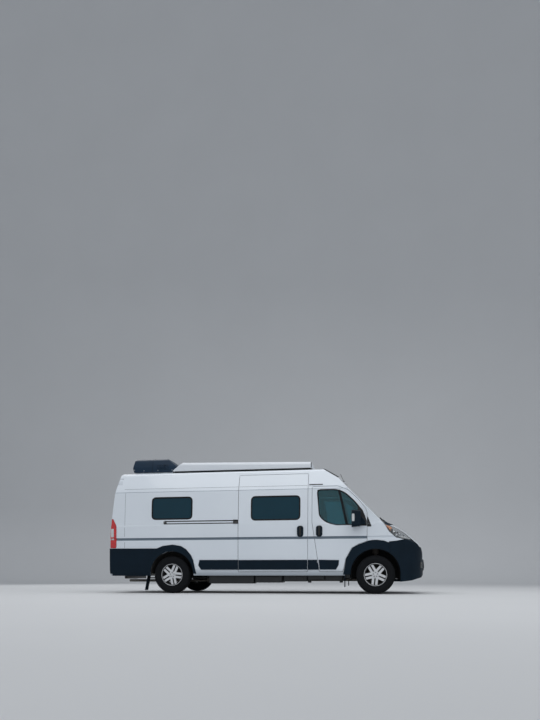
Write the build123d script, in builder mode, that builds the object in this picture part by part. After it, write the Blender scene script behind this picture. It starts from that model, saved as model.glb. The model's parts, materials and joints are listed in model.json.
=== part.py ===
from build123d import *
import math
import os

os.makedirs("parts", exist_ok=True)

# Driving dimensions in mm: +X forward, +Y left, +Z up, origin on the ground under the middle of the box
length = 6363.0
half_width = 1025.0
wheelbase = 4035.0
front_overhang = 960.0
front_end = length / 2
front_axle = front_end - front_overhang
rear_axle = front_axle - wheelbase
gap = 6.0
handle_z = 1214.0
slide_handle_x = 780.0
cab_handle_x = 1149.0
door_corner = 22.0
reach = 1300.0
cladding_depth = 12.0
tow_y = -590.0
tow_z = 442.0
tow_end = 3100.0
rail_bottom = 400.0
tow_radius = 10.0
tow_depth = 45.0
hitch_outer = 64.0
hitch_inner = 51.0
driver_y = 430.0
spindle = 28.0
spindle_end = 48.0
hub_face = 66.0
spoke_face = 82.0
spoke_pairs = 5
spoke_middle = 127.0
spoke_offset = 35.0
spoke_width = 47.0
plate_pitch = 178.0
plate_hole = 3.2

# Wall thickness of each kind of panel
wall = 45.0
skin = 25.0
lamp_depth = 80.0
glass_out = 3.0
glass_in = 11.0
screen_out = 18.0
screen_in = 26.0

# Wheels, tyres and steering
tyre_radius = 372.0
tyre_width = 223.0
front_track = 1810.0
rear_track = 1800.0
front_arch = 470.0
rear_arch = 445.0
arch_height = 395.0

# Roof lid, its frame and tent, hatch and air conditioner
lid_rear = -1892.0
lid_front = 975.0
lid_half = 720.0
lid_bottom = 2492.0
lid_shoulder = 2647.0
lid_wall = 28.0
lid_fall = 1.207
frame_rear = -1770.0
frame_front = 930.0
frame_half = 680.0
frame_top = 2514.0
hatch_rear = -1450.0
hatch_front = 750.0
hatch_half = 520.0
cooler_rear = -2890.0
cooler_bottom = 2546.0
cooler_front = -1925.0
cooler_half = 360.0
cooler_top = 2870.0

floor_top = 560.0
floor_bottom = 480.0
lid_profile = [
    (lid_rear, 2300), (lid_rear, lid_bottom), (lid_rear + 14, 2516), (-1695, 2664), (-1630, 2760),
    (900, 2760), (lid_front - 26, 2640), (lid_front - 4, 2600), (lid_front, lid_bottom), (lid_front, 2300),
]

# Side profile of cab and box at the middle, as X and Z
box_profile = [
    (-3112, 300), (-3120, 700), (-3114, 1100), (-3090, 1511), (-3030, 2083), (-2965, 2400), (-2920, 2475),
    (-2840, 2520), (1225, 2520), (1540, 2333), (2494, 1369), (2494, 1100), (2300, 300),
]

# Side profile of the nose, as X and Z, from the cowl round the bumper to the arch
nose_profile = [
    (2000, 1405), (2387, 1405), (2558, 1358), (2706, 1292), (2820, 1210), (2912, 1108), (3034, 958), (3092, 872),
    (3146, 712), (3174, 610), (3181.5, 540), (3170, 460), (3144, 380), (3098, 322), (2900, 262), (2700, 238),
    (2000, 238),
]

# Cross section of one half, as Y and Z, from the sill up to the roof edge
half_section = [
    (0, 230), (960, 230), (988, 392), (1006, 476), (1012, 700), (1014, 1062), (998, 1074), (998, 1102),
    (1014, 1112), (1012, 1352), (1001, 1376), (980, 1750), (956, 2040), (946, 2048), (928, 2112), (812, 2400),
]
shoulder_z = 1352
roof_edge = [(812, 2400), (770, 2440), (700, 2456)]
roof_top = 2510.0
roof_crown = [(700, 2456), (360, 2496), (0, roof_top)]

# Crowned faces: a point on the middle line, the way it runs forward and down, crown, and drop at the edge
screen_foot = (2494, 1369)
screen_way = (860, -867)
crowned = {
    "screen": (screen_foot, screen_way, 0, 112),
    "forehead": ((1660, 2262), (435, -258), 0, 130),
    "bonnet": ((2387, 1395), (502, -318), 112, 100),
}


def crown_plane(name):
    """Plane across a crowned face, with its local y pointing out of the body"""
    point, way, crown, drop = crowned[name]
    return Plane(origin=(point[0], 0, point[1]), x_dir=(0, 1, 0), z_dir=(way[0], 0, way[1]))


def crown_cut(name, inset):
    """Block that keeps all that lies behind one crowned face"""
    point, way, crown, drop = crowned[name]
    edge = half_width + 40
    with BuildPart() as block:
        with BuildSketch(crown_plane(name)):
            with BuildLine():
                ThreePointArc((-edge, -drop - inset), (0, crown - inset), (edge, -drop - inset))
                Polyline((edge, -drop - inset), (edge, -7000), (-edge, -7000), (-edge, -drop - inset))
            make_face()
        extrude(amount=6000, both=True)
    return block.part


def narrowed(points, inset, lower):
    """Points of the cross section drawn in by an inset, those on the middle line staying on it"""
    return [(y - inset if y else 0, z - lower) for y, z in points]


def section_side(inset):
    """Side of the cross section, without its groove and shoulder on the inner forms"""
    points = [p for p in half_section[:-1] if not inset or not (1066 < p[1] < 1112 or p[1] == shoulder_z)]
    return narrowed(points, inset, 0) + narrowed(half_section[-1:], inset, inset)


def body_form(inset):
    """Whole outer form of the body, drawn in by an inset"""
    with BuildPart() as nose:
        with BuildSketch(Plane.XZ):
            with BuildLine():
                Polyline(*nose_profile, close=True)
            make_face()
            if inset:
                offset(amount=-inset, kind=Kind.INTERSECTION, mode=Mode.REPLACE)
        extrude(amount=reach, both=True)
        add(crown_cut("bonnet", inset), mode=Mode.INTERSECT)
    with BuildPart() as form:
        with BuildSketch(Plane.XZ):
            with BuildLine():
                Polyline(*box_profile, close=True)
            make_face()
            if inset:
                offset(amount=-inset, kind=Kind.INTERSECTION, mode=Mode.REPLACE)
        extrude(amount=reach, both=True)
        add(crown_cut("screen", inset), mode=Mode.INTERSECT)
        add(crown_cut("forehead", inset), mode=Mode.INTERSECT)
        add(nose.part)
        with BuildSketch(Plane.YZ):
            with BuildLine():
                Polyline(*section_side(inset))
                ThreePointArc(*narrowed(roof_edge, inset, inset))
                ThreePointArc(*narrowed(roof_crown, inset, inset))
                Line((0, roof_top - inset), (0, 230))
            make_face()
            mirror(about=Plane.YZ)
        extrude(amount=length, both=True, mode=Mode.INTERSECT)
        with BuildSketch(Plane.XY):
            with BuildLine():
                front_arc = ThreePointArc((3000, 1020), (front_end, 0), (3000, -1020))
                Polyline(front_arc @ 1, (-3112, -1020), (-3135, 0), (-3112, 1020), front_arc @ 0)
            corners = make_face().vertices()
            fillet(corners.group_by(Axis.X)[-1], radius=400)
            fillet([v for v in corners if v.X < -3100 and abs(v.Y) > 900], radius=95)
            if inset:
                offset(amount=-inset, kind=Kind.INTERSECTION, mode=Mode.REPLACE)
        extrude(amount=3000, mode=Mode.INTERSECT)
    return form.part


forms = {inset: body_form(inset) for inset in (-cladding_depth, 0, glass_out, glass_in, skin, wall, lamp_depth)}
outer = forms[0]


def shell_of(thickness, depth=0.0):
    """Body shell between two depths below the outer surface"""
    with BuildPart() as shell:
        add(forms[depth])
        add(forms[thickness], mode=Mode.SUBTRACT)
    return shell.part


wall_shell = shell_of(wall)
skin_shell = shell_of(skin)
slat_shell = shell_of(wall, skin)
lamp_shell = shell_of(lamp_depth)
glass_shell = shell_of(glass_in, glass_out)


def side_block(points, radius=0.0, grow=0.0, start=560.0):
    """Block behind an outline in X and Z on the right side, from a distance off the middle outwards"""
    with BuildPart() as block:
        with BuildSketch(Plane.XZ.offset(start)):
            with BuildLine():
                Polyline(*points, close=True)
            face = make_face()
            if radius:
                fillet(face.vertices(), radius=radius)
            if grow:
                offset(amount=grow, kind=Kind.INTERSECTION, mode=Mode.REPLACE)
        extrude(amount=reach - start)
    return block.part


def end_block(points, x_from, x_to, radius=0.0, grow=0.0):
    """Block between two places along X behind an outline in Y and Z"""
    with BuildPart() as block:
        with BuildSketch(Plane.YZ.offset(x_from)):
            with BuildLine():
                Polyline(*points, close=True)
            face = make_face()
            if radius:
                fillet(face.vertices(), radius=radius)
            if grow:
                offset(amount=grow, kind=Kind.INTERSECTION, mode=Mode.REPLACE)
        extrude(amount=x_to - x_from)
    return block.part


def keep(piece, label):
    """Label a finished piece and write it"""
    piece.label = label
    export_step(piece, "parts/" + label + ".step")


def flipped(block):
    """Mirror image of a right side block"""
    return mirror(block, about=Plane.XZ, mode=Mode.PRIVATE)


def both_sides(block):
    """A right side block with its mirror image"""
    with BuildPart() as pair:
        add(block)
        add(flipped(block))
    return pair.part


def carved(shell, form, cuts):
    """The part of a body shell inside a form, less some cuts"""
    with BuildPart() as panel:
        add(shell)
        add(form, mode=Mode.INTERSECT)
        for cut in cuts:
            add(cut, mode=Mode.SUBTRACT)
    return panel.part


def box(low, high):
    """Plain block from its low and high corner"""
    with BuildPart() as block:
        with BuildSketch(Plane.XY.offset(low[2])):
            with Locations(((low[0] + high[0]) / 2, (low[1] + high[1]) / 2)):
                Rectangle(high[0] - low[0], high[1] - low[1])
        extrude(amount=high[2] - low[2])
    return block.part


def tube_y(x, z, radius, y_from, y_to):
    """Round bar across the vehicle"""
    with BuildPart() as bar:
        with BuildSketch(Plane.XZ.offset(-y_to)):
            with Locations((x, z)):
                Circle(radius)
        extrude(amount=y_to - y_from)
    return bar.part


def bar_along(start, end, radius):
    """Round bar from one point to another"""
    way = Vector(*end) - Vector(*start)
    with BuildPart() as bar:
        with BuildSketch(Plane(origin=start, z_dir=way)):
            Circle(radius)
        extrude(amount=way.length)
    return bar.part


def rectangle(low, high):
    """Corners of a rectangle from its low and high corner"""
    return [low, (high[0], low[1]), high, (low[0], high[1])]


# Outlines on the side, as X and Z
sliding_outline = rectangle((-450, 430), (923, 2355))
cab_door_outline = [
    (1152, 430), (1122, 660), (1045, 1160), (1010, 1390), (1010, 2085), (1500, 2085), (1690, 2012),
    (1885, 1830), (2035, 1640), (2061, 1560), (2061, 1016), (1900, 962), (1772, 890), (1656, 676), (1602, 430),
]
cab_window_outline = [
    (1105, 2022), (1480, 2022), (1640, 1960), (1830, 1785), (1975, 1595), (2020, 1480), (2020, 1322),
    (1480, 1322), (1345, 1355), (1225, 1425), (1150, 1510),
]
rear_window_outline = rectangle((-2234, 1486), (-1400, 1928))
slide_window_outline = rectangle((-191, 1444), (771, 1911))
lamp_outline = [
    (2391, 1340), (2558, 1292), (2706, 1217), (2814, 1132), (2884, 1062), (2889, 1041), (2760, 1048), (2617, 1083),
    (2480, 1200),
]
wing_outline = [
    (2067, 1296), (2200, 1316), (2322, 1420), (2384, 1345), (2472, 1196), (2612, 1076), (2752, 1042),
    (2620, 1018), (2480, 1005), (2468, 985), (2380, 1020), (2250, 1036), (2156, 1032), (2067, 1018),
]
pillar_outline = [
    (900, 2400), (900, 355), (1640, 355), (1700, 680), (2067, 1000), (2067, 1290), (2205, 1310), (2322, 1420),
    (2600, 1420), (1600, 2400),
]
bumper_outline = [
    (2486, 999), (2622, 1012), (2762, 1040), (2892, 1034), (3060, 900), (3300, 900), (3300, 200), (2500, 200),
]
bonnet_outline = [
    (2398, 1600), (2398, 1347), (2560, 1299), (2709, 1224), (2818, 1138), (2892, 1066), (3030, 934), (3300, 934),
    (3300, 1600),
]
body_side_outline = rectangle((-3300, 355), (1000, 2450))
roof_outline = [
    (-3300, 2346), (-2886, 2346), (-2886, 2400), (944, 2400), (944, 2098), (1760, 2098), (1760, 2700),
    (-3300, 2700),
]
tail_lamp_outline = [(-3300, 912), (-2985, 912), (-2985, 1352), (-3062, 1506), (-3300, 1530)]

# Cladding outlines on the side, as X and Z
rear_cladding = [
    (-3300, 392), (-3300, 905), (-2125, 900), (-2000, 950), (-1792, 975), (-1620, 945), (-1512, 880),
    (-1410, 760), (-1366, 660), (-1310, 392),
]
front_trim = [
    (1608, 372), (1662, 672), (1778, 882), (1905, 953), (2067, 1008), (2156, 1026), (2250, 1030), (2374, 1012),
    (2466, 976), (2480, 999), (2500, 900), (2500, 372),
]
rear_strip = [(-1262, 560), (-1236, 664), (-457, 664), (-457, 470), (-1206, 470)]
slide_strip = rectangle((-444, 470), (917, 660))
door_strip = [(1136, 660), (1531, 652), (1524, 560), (1472, 470), (1158, 470)]

# Slide rail of the sliding door, in a recess of the right side
rail_recess = rectangle((-1958, 1384), (-442, 1452))
rail_bar = rectangle((-1975, 1402), (-425, 1434))

# Tanks under the floor: bottom, top, middle and size
tanks = [
    (216, 342, (135, -690), (560, 400)),
    (272, 344, (690, -680), (420, 390)),
    (235, 343, (600, 680), (1100, 400)),
]

# Rear doors and openings, as Y and Z
rear_door_half = 882.0
rear_door_outline = rectangle((3, 566), (rear_door_half, 2334))
rear_window = rectangle((150, 1420), (770, 1940))
rear_opening = rectangle((-rear_door_half - gap, 560), (rear_door_half + gap, 2340))


def arch_block(axle_x, radius, inner_y):
    """Round block of a wheel arch, both sides"""
    with BuildPart() as block:
        with BuildSketch(Plane.XZ.offset(inner_y)):
            with Locations((axle_x, arch_height)):
                Circle(radius)
            with Locations((axle_x, arch_height / 2 - 100)):
                Rectangle(2 * radius, arch_height + 200)
        extrude(amount=reach - inner_y)
    return both_sides(block.part)


front_wells = arch_block(front_axle, front_arch, 560)
rear_wells = arch_block(rear_axle, rear_arch, 650)

# Windscreen outline on its own slanted plane
screen_rise = math.hypot(*screen_way)
with BuildPart() as screen_block:
    screen_plane = Plane(origin=(screen_foot[0], 0, screen_foot[1]), x_dir=(0, 1, 0), z_dir=(867, 0, 860))
    with BuildSketch(screen_plane):
        with BuildLine():
            Polyline((-890, 45), (890, 45), (785, screen_rise - 20), (-785, screen_rise - 20), close=True)
        fillet(make_face().vertices(), radius=70)
    extrude(amount=500, both=True)

def cowl_block(forward):
    """Block behind the curved edge between cowl and bonnet"""
    with BuildPart() as block:
        with BuildSketch(Plane.XY.offset(1290)):
            with BuildLine():
                edge = ThreePointArc((2392 + forward, -1000), (2636 + forward, 0), (2392 + forward, 1000))
                Polyline(edge @ 1, (2200, 1000), (2200, -1000), edge @ 0)
            make_face()
        extrude(amount=310)
    return block.part


# Cuts and forms that several panels share
slide_cut = side_block(sliding_outline, radius=door_corner, grow=gap)
cab_cut = side_block(cab_door_outline, radius=28, grow=gap)
rear_hole = end_block(rear_opening, -3300, -2900, radius=60)
rear_window_cut = side_block(rear_window_outline, radius=90)
slide_window_cut = side_block(slide_window_outline, radius=80)
cab_window_cut = side_block(cab_window_outline, radius=20)
tail_cut = side_block(tail_lamp_outline, radius=30, grow=3, start=900)
lamp_cut = side_block(lamp_outline, radius=6, grow=3)
wing_form = side_block(wing_outline)
with BuildPart() as roof_form:
    with BuildSketch(Plane.XZ):
        with BuildLine():
            Polyline(*roof_outline, close=True)
        make_face()
    extrude(amount=reach, both=True)
with BuildPart() as whole_side:
    add(side_block(body_side_outline))
    add(side_block(pillar_outline))
    add(roof_form.part, mode=Mode.SUBTRACT)
    add(wing_form, mode=Mode.SUBTRACT)
lid_hole = box((hatch_rear, -hatch_half, 2300), (hatch_front, hatch_half, 2600))

# Body sides: the right one has the sliding door's opening, the left one is closed there
side_cuts = [cab_cut, rear_hole, rear_window_cut, tail_cut]
round_cuts = [front_wells, rear_wells, screen_block.part]
rail_slot = carved(skin_shell, side_block(rail_recess, radius=12), [])
with BuildPart() as side_right:
    add(carved(wall_shell, whole_side.part, side_cuts + [slide_cut, rail_slot] + round_cuts))
    add(carved(shell_of(skin, glass_in), side_block(rail_bar), [slide_cut]))
keep(side_right.part, "side_right")
left_cuts = [flipped(cut) for cut in side_cuts + [slide_window_cut]]
side_left = carved(wall_shell, flipped(whole_side.part), left_cuts + round_cuts)
keep(side_left, "side_left")

# Roof with its forehead over the cab and the hatch under the lid
roof_cuts = [lid_hole, screen_block.part, flipped(cab_cut), cab_cut, rear_hole]
with BuildPart() as raised:
    add(box((frame_rear, -frame_half, 2420), (frame_front, frame_half, frame_top)))
    add(box((frame_rear + 40, -frame_half + 40, 2400), (frame_front - 40, frame_half - 40, 2600)), mode=Mode.SUBTRACT)
    add(box((cooler_rear + 60, -310, 2470), (cooler_front - 90, 310, cooler_bottom)))
    add(forms[skin], mode=Mode.SUBTRACT)
with BuildPart() as roof:
    add(carved(wall_shell, roof_form.part, roof_cuts))
    add(raised.part)
keep(roof.part, "roof")

# Sliding door
sliding_door = carved(wall_shell, side_block(sliding_outline, radius=door_corner), [slide_window_cut])
keep(sliding_door, "sliding_door")

# Fixed glass: windscreen and side windows
with BuildPart() as glazing:
    screen_cuts = [crown_cut("screen", screen_in), wing_form, flipped(wing_form)]
    add(carved(crown_cut("screen", screen_out), screen_block.part, screen_cuts))
    for outline, radius in ((rear_window_outline, 90), (slide_window_outline, 80)):
        add(both_sides(carved(glass_shell, side_block(outline, radius=radius, grow=-1), [])))
keep(glazing.part, "glazing")

# Front wings with the body-coloured nose panel between the lamps
nose_panel_box = box((2950, -592, 668), (3300, 592, 922))
nose_hole = box((2950, -470, 722), (3300, 470, 872))
wing = carved(skin_shell, wing_form, [front_wells])
with BuildPart() as front_wings:
    add(both_sides(wing))
    add(carved(skin_shell, nose_panel_box, [nose_hole]))
keep(front_wings.part, "front_wings")

# Bonnet over the engine
with BuildPart() as bonnet_form:
    with BuildSketch(Plane.XZ):
        with BuildLine():
            Polyline(*bonnet_outline, close=True)
        make_face()
    extrude(amount=reach, both=True)
bonnet = carved(skin_shell, bonnet_form.part, [cowl_block(gap)])
keep(bonnet, "bonnet")

# Front bumper with its air inlets and slats
inlet_low = box((2950, -520, 376), (3300, 520, 458))
nose_clear = box((2900, -597, 663), (3300, 597, 950))
with BuildPart() as bumper_form:
    with BuildSketch(Plane.XZ):
        with BuildLine():
            Polyline(*bumper_outline, close=True)
        make_face()
    extrude(amount=reach, both=True)
with BuildPart() as slats:
    for height in (402, 432):
        add(box((3000, -540, height - 6), (3200, 540, height + 6)))
    for height in (745, 780, 815, 850):
        add(box((3000, -462, height - 9), (3200, 462, height + 9)))
    for y in (-440, -220, 0, 220, 440):
        add(box((3000, y - 9, 360), (3200, y + 9, 858)))
    add(slat_shell, mode=Mode.INTERSECT)
with BuildPart() as front_bumper:
    add(carved(wall_shell, bumper_form.part, [inlet_low, nose_clear, front_wells]))
    add(bar_along((2950, tow_y, tow_z), (3250, tow_y, tow_z), 32), mode=Mode.SUBTRACT)
    add(slats.part)
keep(front_bumper.part, "front_bumper")

# Cowl between the windscreen and the bonnet, with the two black corners behind the wings
cowl_cuts = [wing_form, whole_side.part, lamp_cut]
screen_behind = crown_cut("screen", 0)
cowl = carved(skin_shell, cowl_block(0), [screen_behind] + cowl_cuts + [flipped(cut) for cut in cowl_cuts])
keep(cowl, "cowl")

# Lamps
headlamp = carved(lamp_shell, side_block(lamp_outline, radius=6), [])
keep(both_sides(headlamp), "headlamps")
tail_lamp = carved(lamp_shell, side_block(tail_lamp_outline, radius=30, start=900), [])
keep(both_sides(tail_lamp), "tail_lamps")

def handle_block(x):
    """Upright door handle, standing proud of the right side"""
    with BuildPart() as handle:
        with BuildSketch(Plane.XZ.offset(990)):
            with Locations((x, handle_z)):
                RectangleRounded(132, 222, 54)
        extrude(amount=46, taper=8)
        add(outer, mode=Mode.SUBTRACT)
    return handle.part


# Cladding: black mouldings that stand proud of the painted body, with the mudflaps behind the wheels
proud_shell = carved(forms[-cladding_depth], box((-3300, -1100, 360), (2487, 1100, 1100)), [outer])
with BuildPart() as cladding_form:
    for outline in (rear_cladding, front_trim, rear_strip, slide_strip):
        add(side_block(outline))
step_clear = box((-3300, -884, 300), (-3050, 884, 555))
cladding_right = carved(proud_shell, cladding_form.part, [front_wells, rear_wells, rear_hole, step_clear])
with BuildPart() as rear_flap:
    with BuildSketch(Plane.XZ.offset(760)):
        with BuildLine():
            Polyline((-2318, 470), (-2330, 470), (-2408, 60), (-2396, 60), close=True)
        make_face()
    extrude(amount=170)
with BuildPart() as side_cladding:
    add(both_sides(cladding_right))
    add(both_sides(rear_flap.part))
    add(both_sides(box((front_axle - 590, -1000, 130), (front_axle - 578, -800, 350))))
    add(handle_block(slide_handle_x))
keep(side_cladding.part, "side_cladding")

# Rear bumper: a step across the back with a lip under the doors
with BuildPart() as rear_bumper:
    with BuildSketch(Plane.XY.offset(392)):
        with BuildLine():
            step_arc = ThreePointArc((-3140, 880), (-length / 2, 0), (-3140, -880))
            Polyline(step_arc @ 1, (-3060, -880), (-3060, 880), step_arc @ 0)
        make_face()
    extrude(amount=158)
    add(outer, mode=Mode.SUBTRACT)
    add(box((-3300, -305, 430), (-3150, 305, 530)), mode=Mode.SUBTRACT)
    with Locations(Plane(origin=(-3165, 0, 480), z_dir=(-1, 0, 0))):
        with Locations((0, plate_pitch / 2), (0, -plate_pitch / 2)):
            Hole(radius=plate_hole, depth=60)
keep(rear_bumper.part, "rear_bumper")

# Cab doors, each with its window's glass, mirror, handle and strip
cab_door = carved(wall_shell, side_block(cab_door_outline, radius=28), [cab_window_cut])
cab_glass = carved(glass_shell, side_block(cab_window_outline, radius=20, grow=-1), [])
with BuildPart() as mirror_head:
    with BuildSketch(Plane.YZ.offset(1778)):
        with Locations((-1161, 1437)):
            RectangleRounded(172, 331, 50)
    extrude(amount=168, taper=7)
    with BuildSketch(Plane.XZ.offset(1000)):
        with BuildLine():
            Polyline((1850, 1330), (2030, 1330), (2030, 1392), (1935, 1500), (1850, 1500), close=True)
        make_face()
    extrude(amount=110)
mirror_foot = carved(mirror_head.part, box((1700, -1300, 1200), (2100, -900, 1700)), [outer])
with BuildPart() as door_trim:
    add(mirror_foot)
    add(carved(proud_shell, side_block(door_strip), []))
    add(handle_block(cab_handle_x))
for label, turn in (("right", 1), ("left", -1)):
    for name, piece in (("cab_door", cab_door), ("cab_glass", cab_glass), ("mirror", door_trim.part)):
        keep(piece if turn == 1 else flipped(piece), name + "_" + label)

# Rear doors with their glass and hinges
door_form = end_block([(-y, z) for y, z in rear_door_outline], -3300, -2900, radius=55)
window_form = end_block([(-y, z) for y, z in rear_window], -3300, -2900, radius=80)
glass_form = end_block([(-y, z) for y, z in rear_window], -3300, -2900, radius=80, grow=-1)
rear_door = carved(wall_shell, door_form, [window_form])
rear_glass = carved(glass_shell, glass_form, [])
for label, turn in (("right", 1), ("left", -1)):
    for name, piece in (("rear_door", rear_door), ("rear_glass", rear_glass)):
        keep(piece if turn == 1 else flipped(piece), name + "_" + label)

# Floor: platform, two rails, wheel houses and cab bulkhead
with BuildPart() as floor:
    add(box((-3040, -955, floor_bottom), (1590, 955, floor_top)))
    add(box((1590, -555, floor_bottom), (2080, 555, floor_top)))
    add(box((1590, -940, floor_bottom), (1742, 940, floor_top)))
    for y in (-430, 430):
        add(box((-3030, y - 35, rail_bottom), (2815, y + 35, floor_bottom)))
    with BuildSketch(Plane.XZ.offset(655)):
        with Locations((rear_axle, arch_height)):
            Circle(rear_arch + 28)
        with Locations((rear_axle, arch_height - 300)):
            Rectangle(2 * rear_arch + 200, 600, mode=Mode.SUBTRACT)
    extrude(amount=300)
    mirror(about=Plane.XZ)
    add(arch_block(rear_axle, rear_arch, 680), mode=Mode.SUBTRACT)
    add(forms[wall], mode=Mode.INTERSECT)
keep(floor.part, "floor")

# Engine: one plain block across the nose
keep(box((2340, -400, 500), (2800, 420, 1120)), "engine")

# Front subframe: crossbeam, lower arms, drive shafts, arch liners and strut towers
with BuildPart() as subframe_side:
    add(box((2130, -405, 292), (2620, -250, 352)))
    add(bar_along((2150, -395, 316), (front_axle, -735, 262), 24))
    add(bar_along((2540, -395, 328), (front_axle + 30, -735, 268), 24))
    add(tube_y(front_axle, 372, 22, -740, -300))
    add(box((front_axle - 110, -700, 915), (front_axle + 110, -560, 945)))
    with BuildSketch(Plane.XZ.offset(575)):
        with Locations((front_axle, arch_height)):
            Circle(front_arch + 12)
            Circle(front_arch, mode=Mode.SUBTRACT)
        with Locations((front_axle, arch_height - 500)):
            Rectangle(1200, 1000, mode=Mode.SUBTRACT)
    extrude(amount=325)
    add(box((front_axle - 178, -860, 500), (front_axle + 178, -560, 900)), mode=Mode.SUBTRACT)
with BuildPart() as tow_tube:
    with BuildSketch(Plane.YZ.offset(2860)):
        with Locations((tow_y, tow_z)):
            Circle(24)
    extrude(amount=tow_end - 2860)
    with BuildSketch(Plane.YZ.offset(tow_end)):
        with Locations((tow_y, tow_z)):
            Circle(tow_radius)
    extrude(amount=-tow_depth, mode=Mode.SUBTRACT)
with BuildPart() as front_subframe:
    add(both_sides(subframe_side.part))
    add(box((2480, -250, 292), (2600, 250, 345)))
    add(box((2815, -640, 410), (2865, 640, 480)))
    add(tow_tube.part)
keep(front_subframe.part, "front_subframe")

# Rear axle: beam, leaf springs with shackles, and brake discs
with BuildPart() as rear_axle_side:
    add(tube_y(rear_axle, 345, 42, -790, 0))
    add(tube_y(rear_axle, tyre_radius, 60, -885, -770))
    add(tube_y(rear_axle, tyre_radius, 150, -rear_track / 2 - 12, -rear_track / 2 + 14))
    add(tube_y(rear_axle, tyre_radius, spindle, -rear_track / 2 - 45, -880))
    add(box((rear_axle - 660, -575, 296), (rear_axle + 660, -505, 318)))
    for x in (rear_axle - 640, rear_axle + 640):
        add(box((x - 18, -570, 300), (x + 18, -510, 478)))
with BuildPart() as rear_axle_beam:
    add(both_sides(rear_axle_side.part))
keep(rear_axle_beam.part, "rear_axle")

# Underbody: tanks, exhaust and the towing bar with its square socket
with BuildPart() as underbody:
    for bottom, top, place, size in tanks:
        with BuildSketch(Plane.XY.offset(bottom)):
            with Locations(place):
                RectangleRounded(*size, 50)
        extrude(amount=top - bottom)
    add(bar_along((2050, -120, 270), (-900, -120, 270), 30))
    add(bar_along((-1300, -120, 270), (-900, -120, 270), 85))
    add(bar_along((-3050, -120, 250), (-1300, -120, 250), 26))
    add(box((-2990, -560, 292), (-2930, 560, 348)))
    add(box((-3165, -hitch_outer / 2, 288), (-2930, hitch_outer / 2, 288 + hitch_outer)))
    add(box((-3200, -hitch_inner / 2, 294.5), (-3000, hitch_inner / 2, 294.5 + hitch_inner)), mode=Mode.SUBTRACT)
keep(underbody.part, "underbody")

# Pop-top lid: a hollow shell that falls gently to the front, and the folded tent on the frame under it


def lid_form(inset):
    """Outer form of the lid, drawn in by an inset"""
    fall = math.radians(lid_fall)
    side, top = lid_half - inset, lid_shoulder - inset
    section_plane = Plane(origin=(-343, 0, 0), x_dir=(0, 1, 0), z_dir=(math.cos(fall), 0, -math.sin(fall)))
    with BuildPart() as form:
        with BuildSketch(section_plane):
            with BuildLine():
                Polyline((0, 2200), (side, 2200), (side, 2578))
                ThreePointArc((side, 2578), (694 - 0.75 * inset, 2626 - 0.66 * inset), (620, top))
                ThreePointArc((620, top), (310, top + 27), (0, top + 36))
                Line((0, top + 36), (0, 2200))
            make_face()
            mirror(about=Plane.YZ)
        extrude(amount=3500, both=True)
        with BuildSketch(Plane.XZ):
            with BuildLine():
                Polyline(*lid_profile, close=True)
            make_face()
            if inset:
                offset(amount=-inset, kind=Kind.INTERSECTION, mode=Mode.REPLACE)
        extrude(amount=reach, both=True, mode=Mode.INTERSECT)
    return form.part


with BuildPart() as poptop_lid:
    add(lid_form(0))
    add(lid_form(lid_wall), mode=Mode.SUBTRACT)
    add(box((-2000, -900, 2200), (1100, 900, lid_bottom)), mode=Mode.SUBTRACT)
    add(forms[-cladding_depth], mode=Mode.SUBTRACT)
keep(poptop_lid.part, "poptop_lid")

with BuildPart() as tent:
    add(box((frame_rear + 6, -frame_half + 6, frame_top), (frame_front - 6, frame_half - 6, frame_top + 40)))
    add(box((frame_rear + 36, -frame_half + 36, 2400), (frame_front - 36, frame_half - 36, 2600)), mode=Mode.SUBTRACT)
keep(tent.part, "tent")

# Air conditioner on the roof behind the lid
with BuildPart() as cooler:
    with BuildSketch(Plane.XZ):
        with BuildLine():
            Polyline(
                (cooler_rear + 26, cooler_bottom), (cooler_rear, 2640), (cooler_rear + 44, cooler_top - 26),
                (cooler_rear + 330, cooler_top), (cooler_front - 240, cooler_top - 12),
                (cooler_front - 18, 2690), (cooler_front, 2640), (cooler_front - 40, cooler_bottom), close=True)
        make_face()
    extrude(amount=500, both=True)
    with BuildSketch(Plane.YZ):
        with BuildLine():
            Polyline((0, 2420), (cooler_half, 2420), (cooler_half, 2660), (cooler_half - 40, 2800))
            ThreePointArc((cooler_half - 40, 2800), (180, 2852), (0, cooler_top))
            Line((0, cooler_top), (0, 2420))
        make_face()
        mirror(about=Plane.YZ)
    extrude(amount=3500, both=True, mode=Mode.INTERSECT)
    add(outer, mode=Mode.SUBTRACT)
keep(cooler.part, "air_conditioner")

# Cab seats, with plain soft forms
with BuildPart() as seat:
    add(box((1200, -640, floor_top), (1560, -260, 790)))
    with BuildSketch(Plane.XZ.offset(215)):
        with BuildLine():
            Polyline(
                (1130, 790), (1640, 800), (1655, 880), (1620, 935), (1250, 905), (1140, 1480), (1120, 1500),
                (1105, 1690), (1030, 1690), (1020, 1490), (1050, 1400), close=True)
        face = make_face()
        fillet(face.vertices(), radius=14)
    extrude(amount=470)
cab_seats = both_sides(seat.part)
keep(cab_seats, "cab_seats")

# Dashboard with the steering column and wheel
wheel_plane = Plane(origin=(1850, driver_y, 1267), z_dir=(-260, 0, 122))
with BuildPart() as dashboard:
    add(box((2050, -555, floor_top), (2080, 555, 890)))
    with BuildSketch(Plane.XZ):
        with BuildLine():
            Polyline((1990, 1120), (2060, 1262), (2230, 1300), (2290, 1270), (2290, 975), (2095, 975), close=True)
        face = make_face()
        fillet(face.vertices(), radius=20)
    extrude(amount=870, both=True)
    add(bar_along((1860, driver_y, 1262), (2120, driver_y, 1140), 38))
    with Locations(wheel_plane):
        Torus(185, 15)
    for turn in (0, 120, 240):
        across = (180 * math.cos(math.radians(turn + 90)), 180 * math.sin(math.radians(turn + 90)), 0)
        add(bar_along((1855, driver_y, 1264), tuple(wheel_plane.from_local_coords(across)), 11))
keep(dashboard.part, "dashboard")

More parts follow.
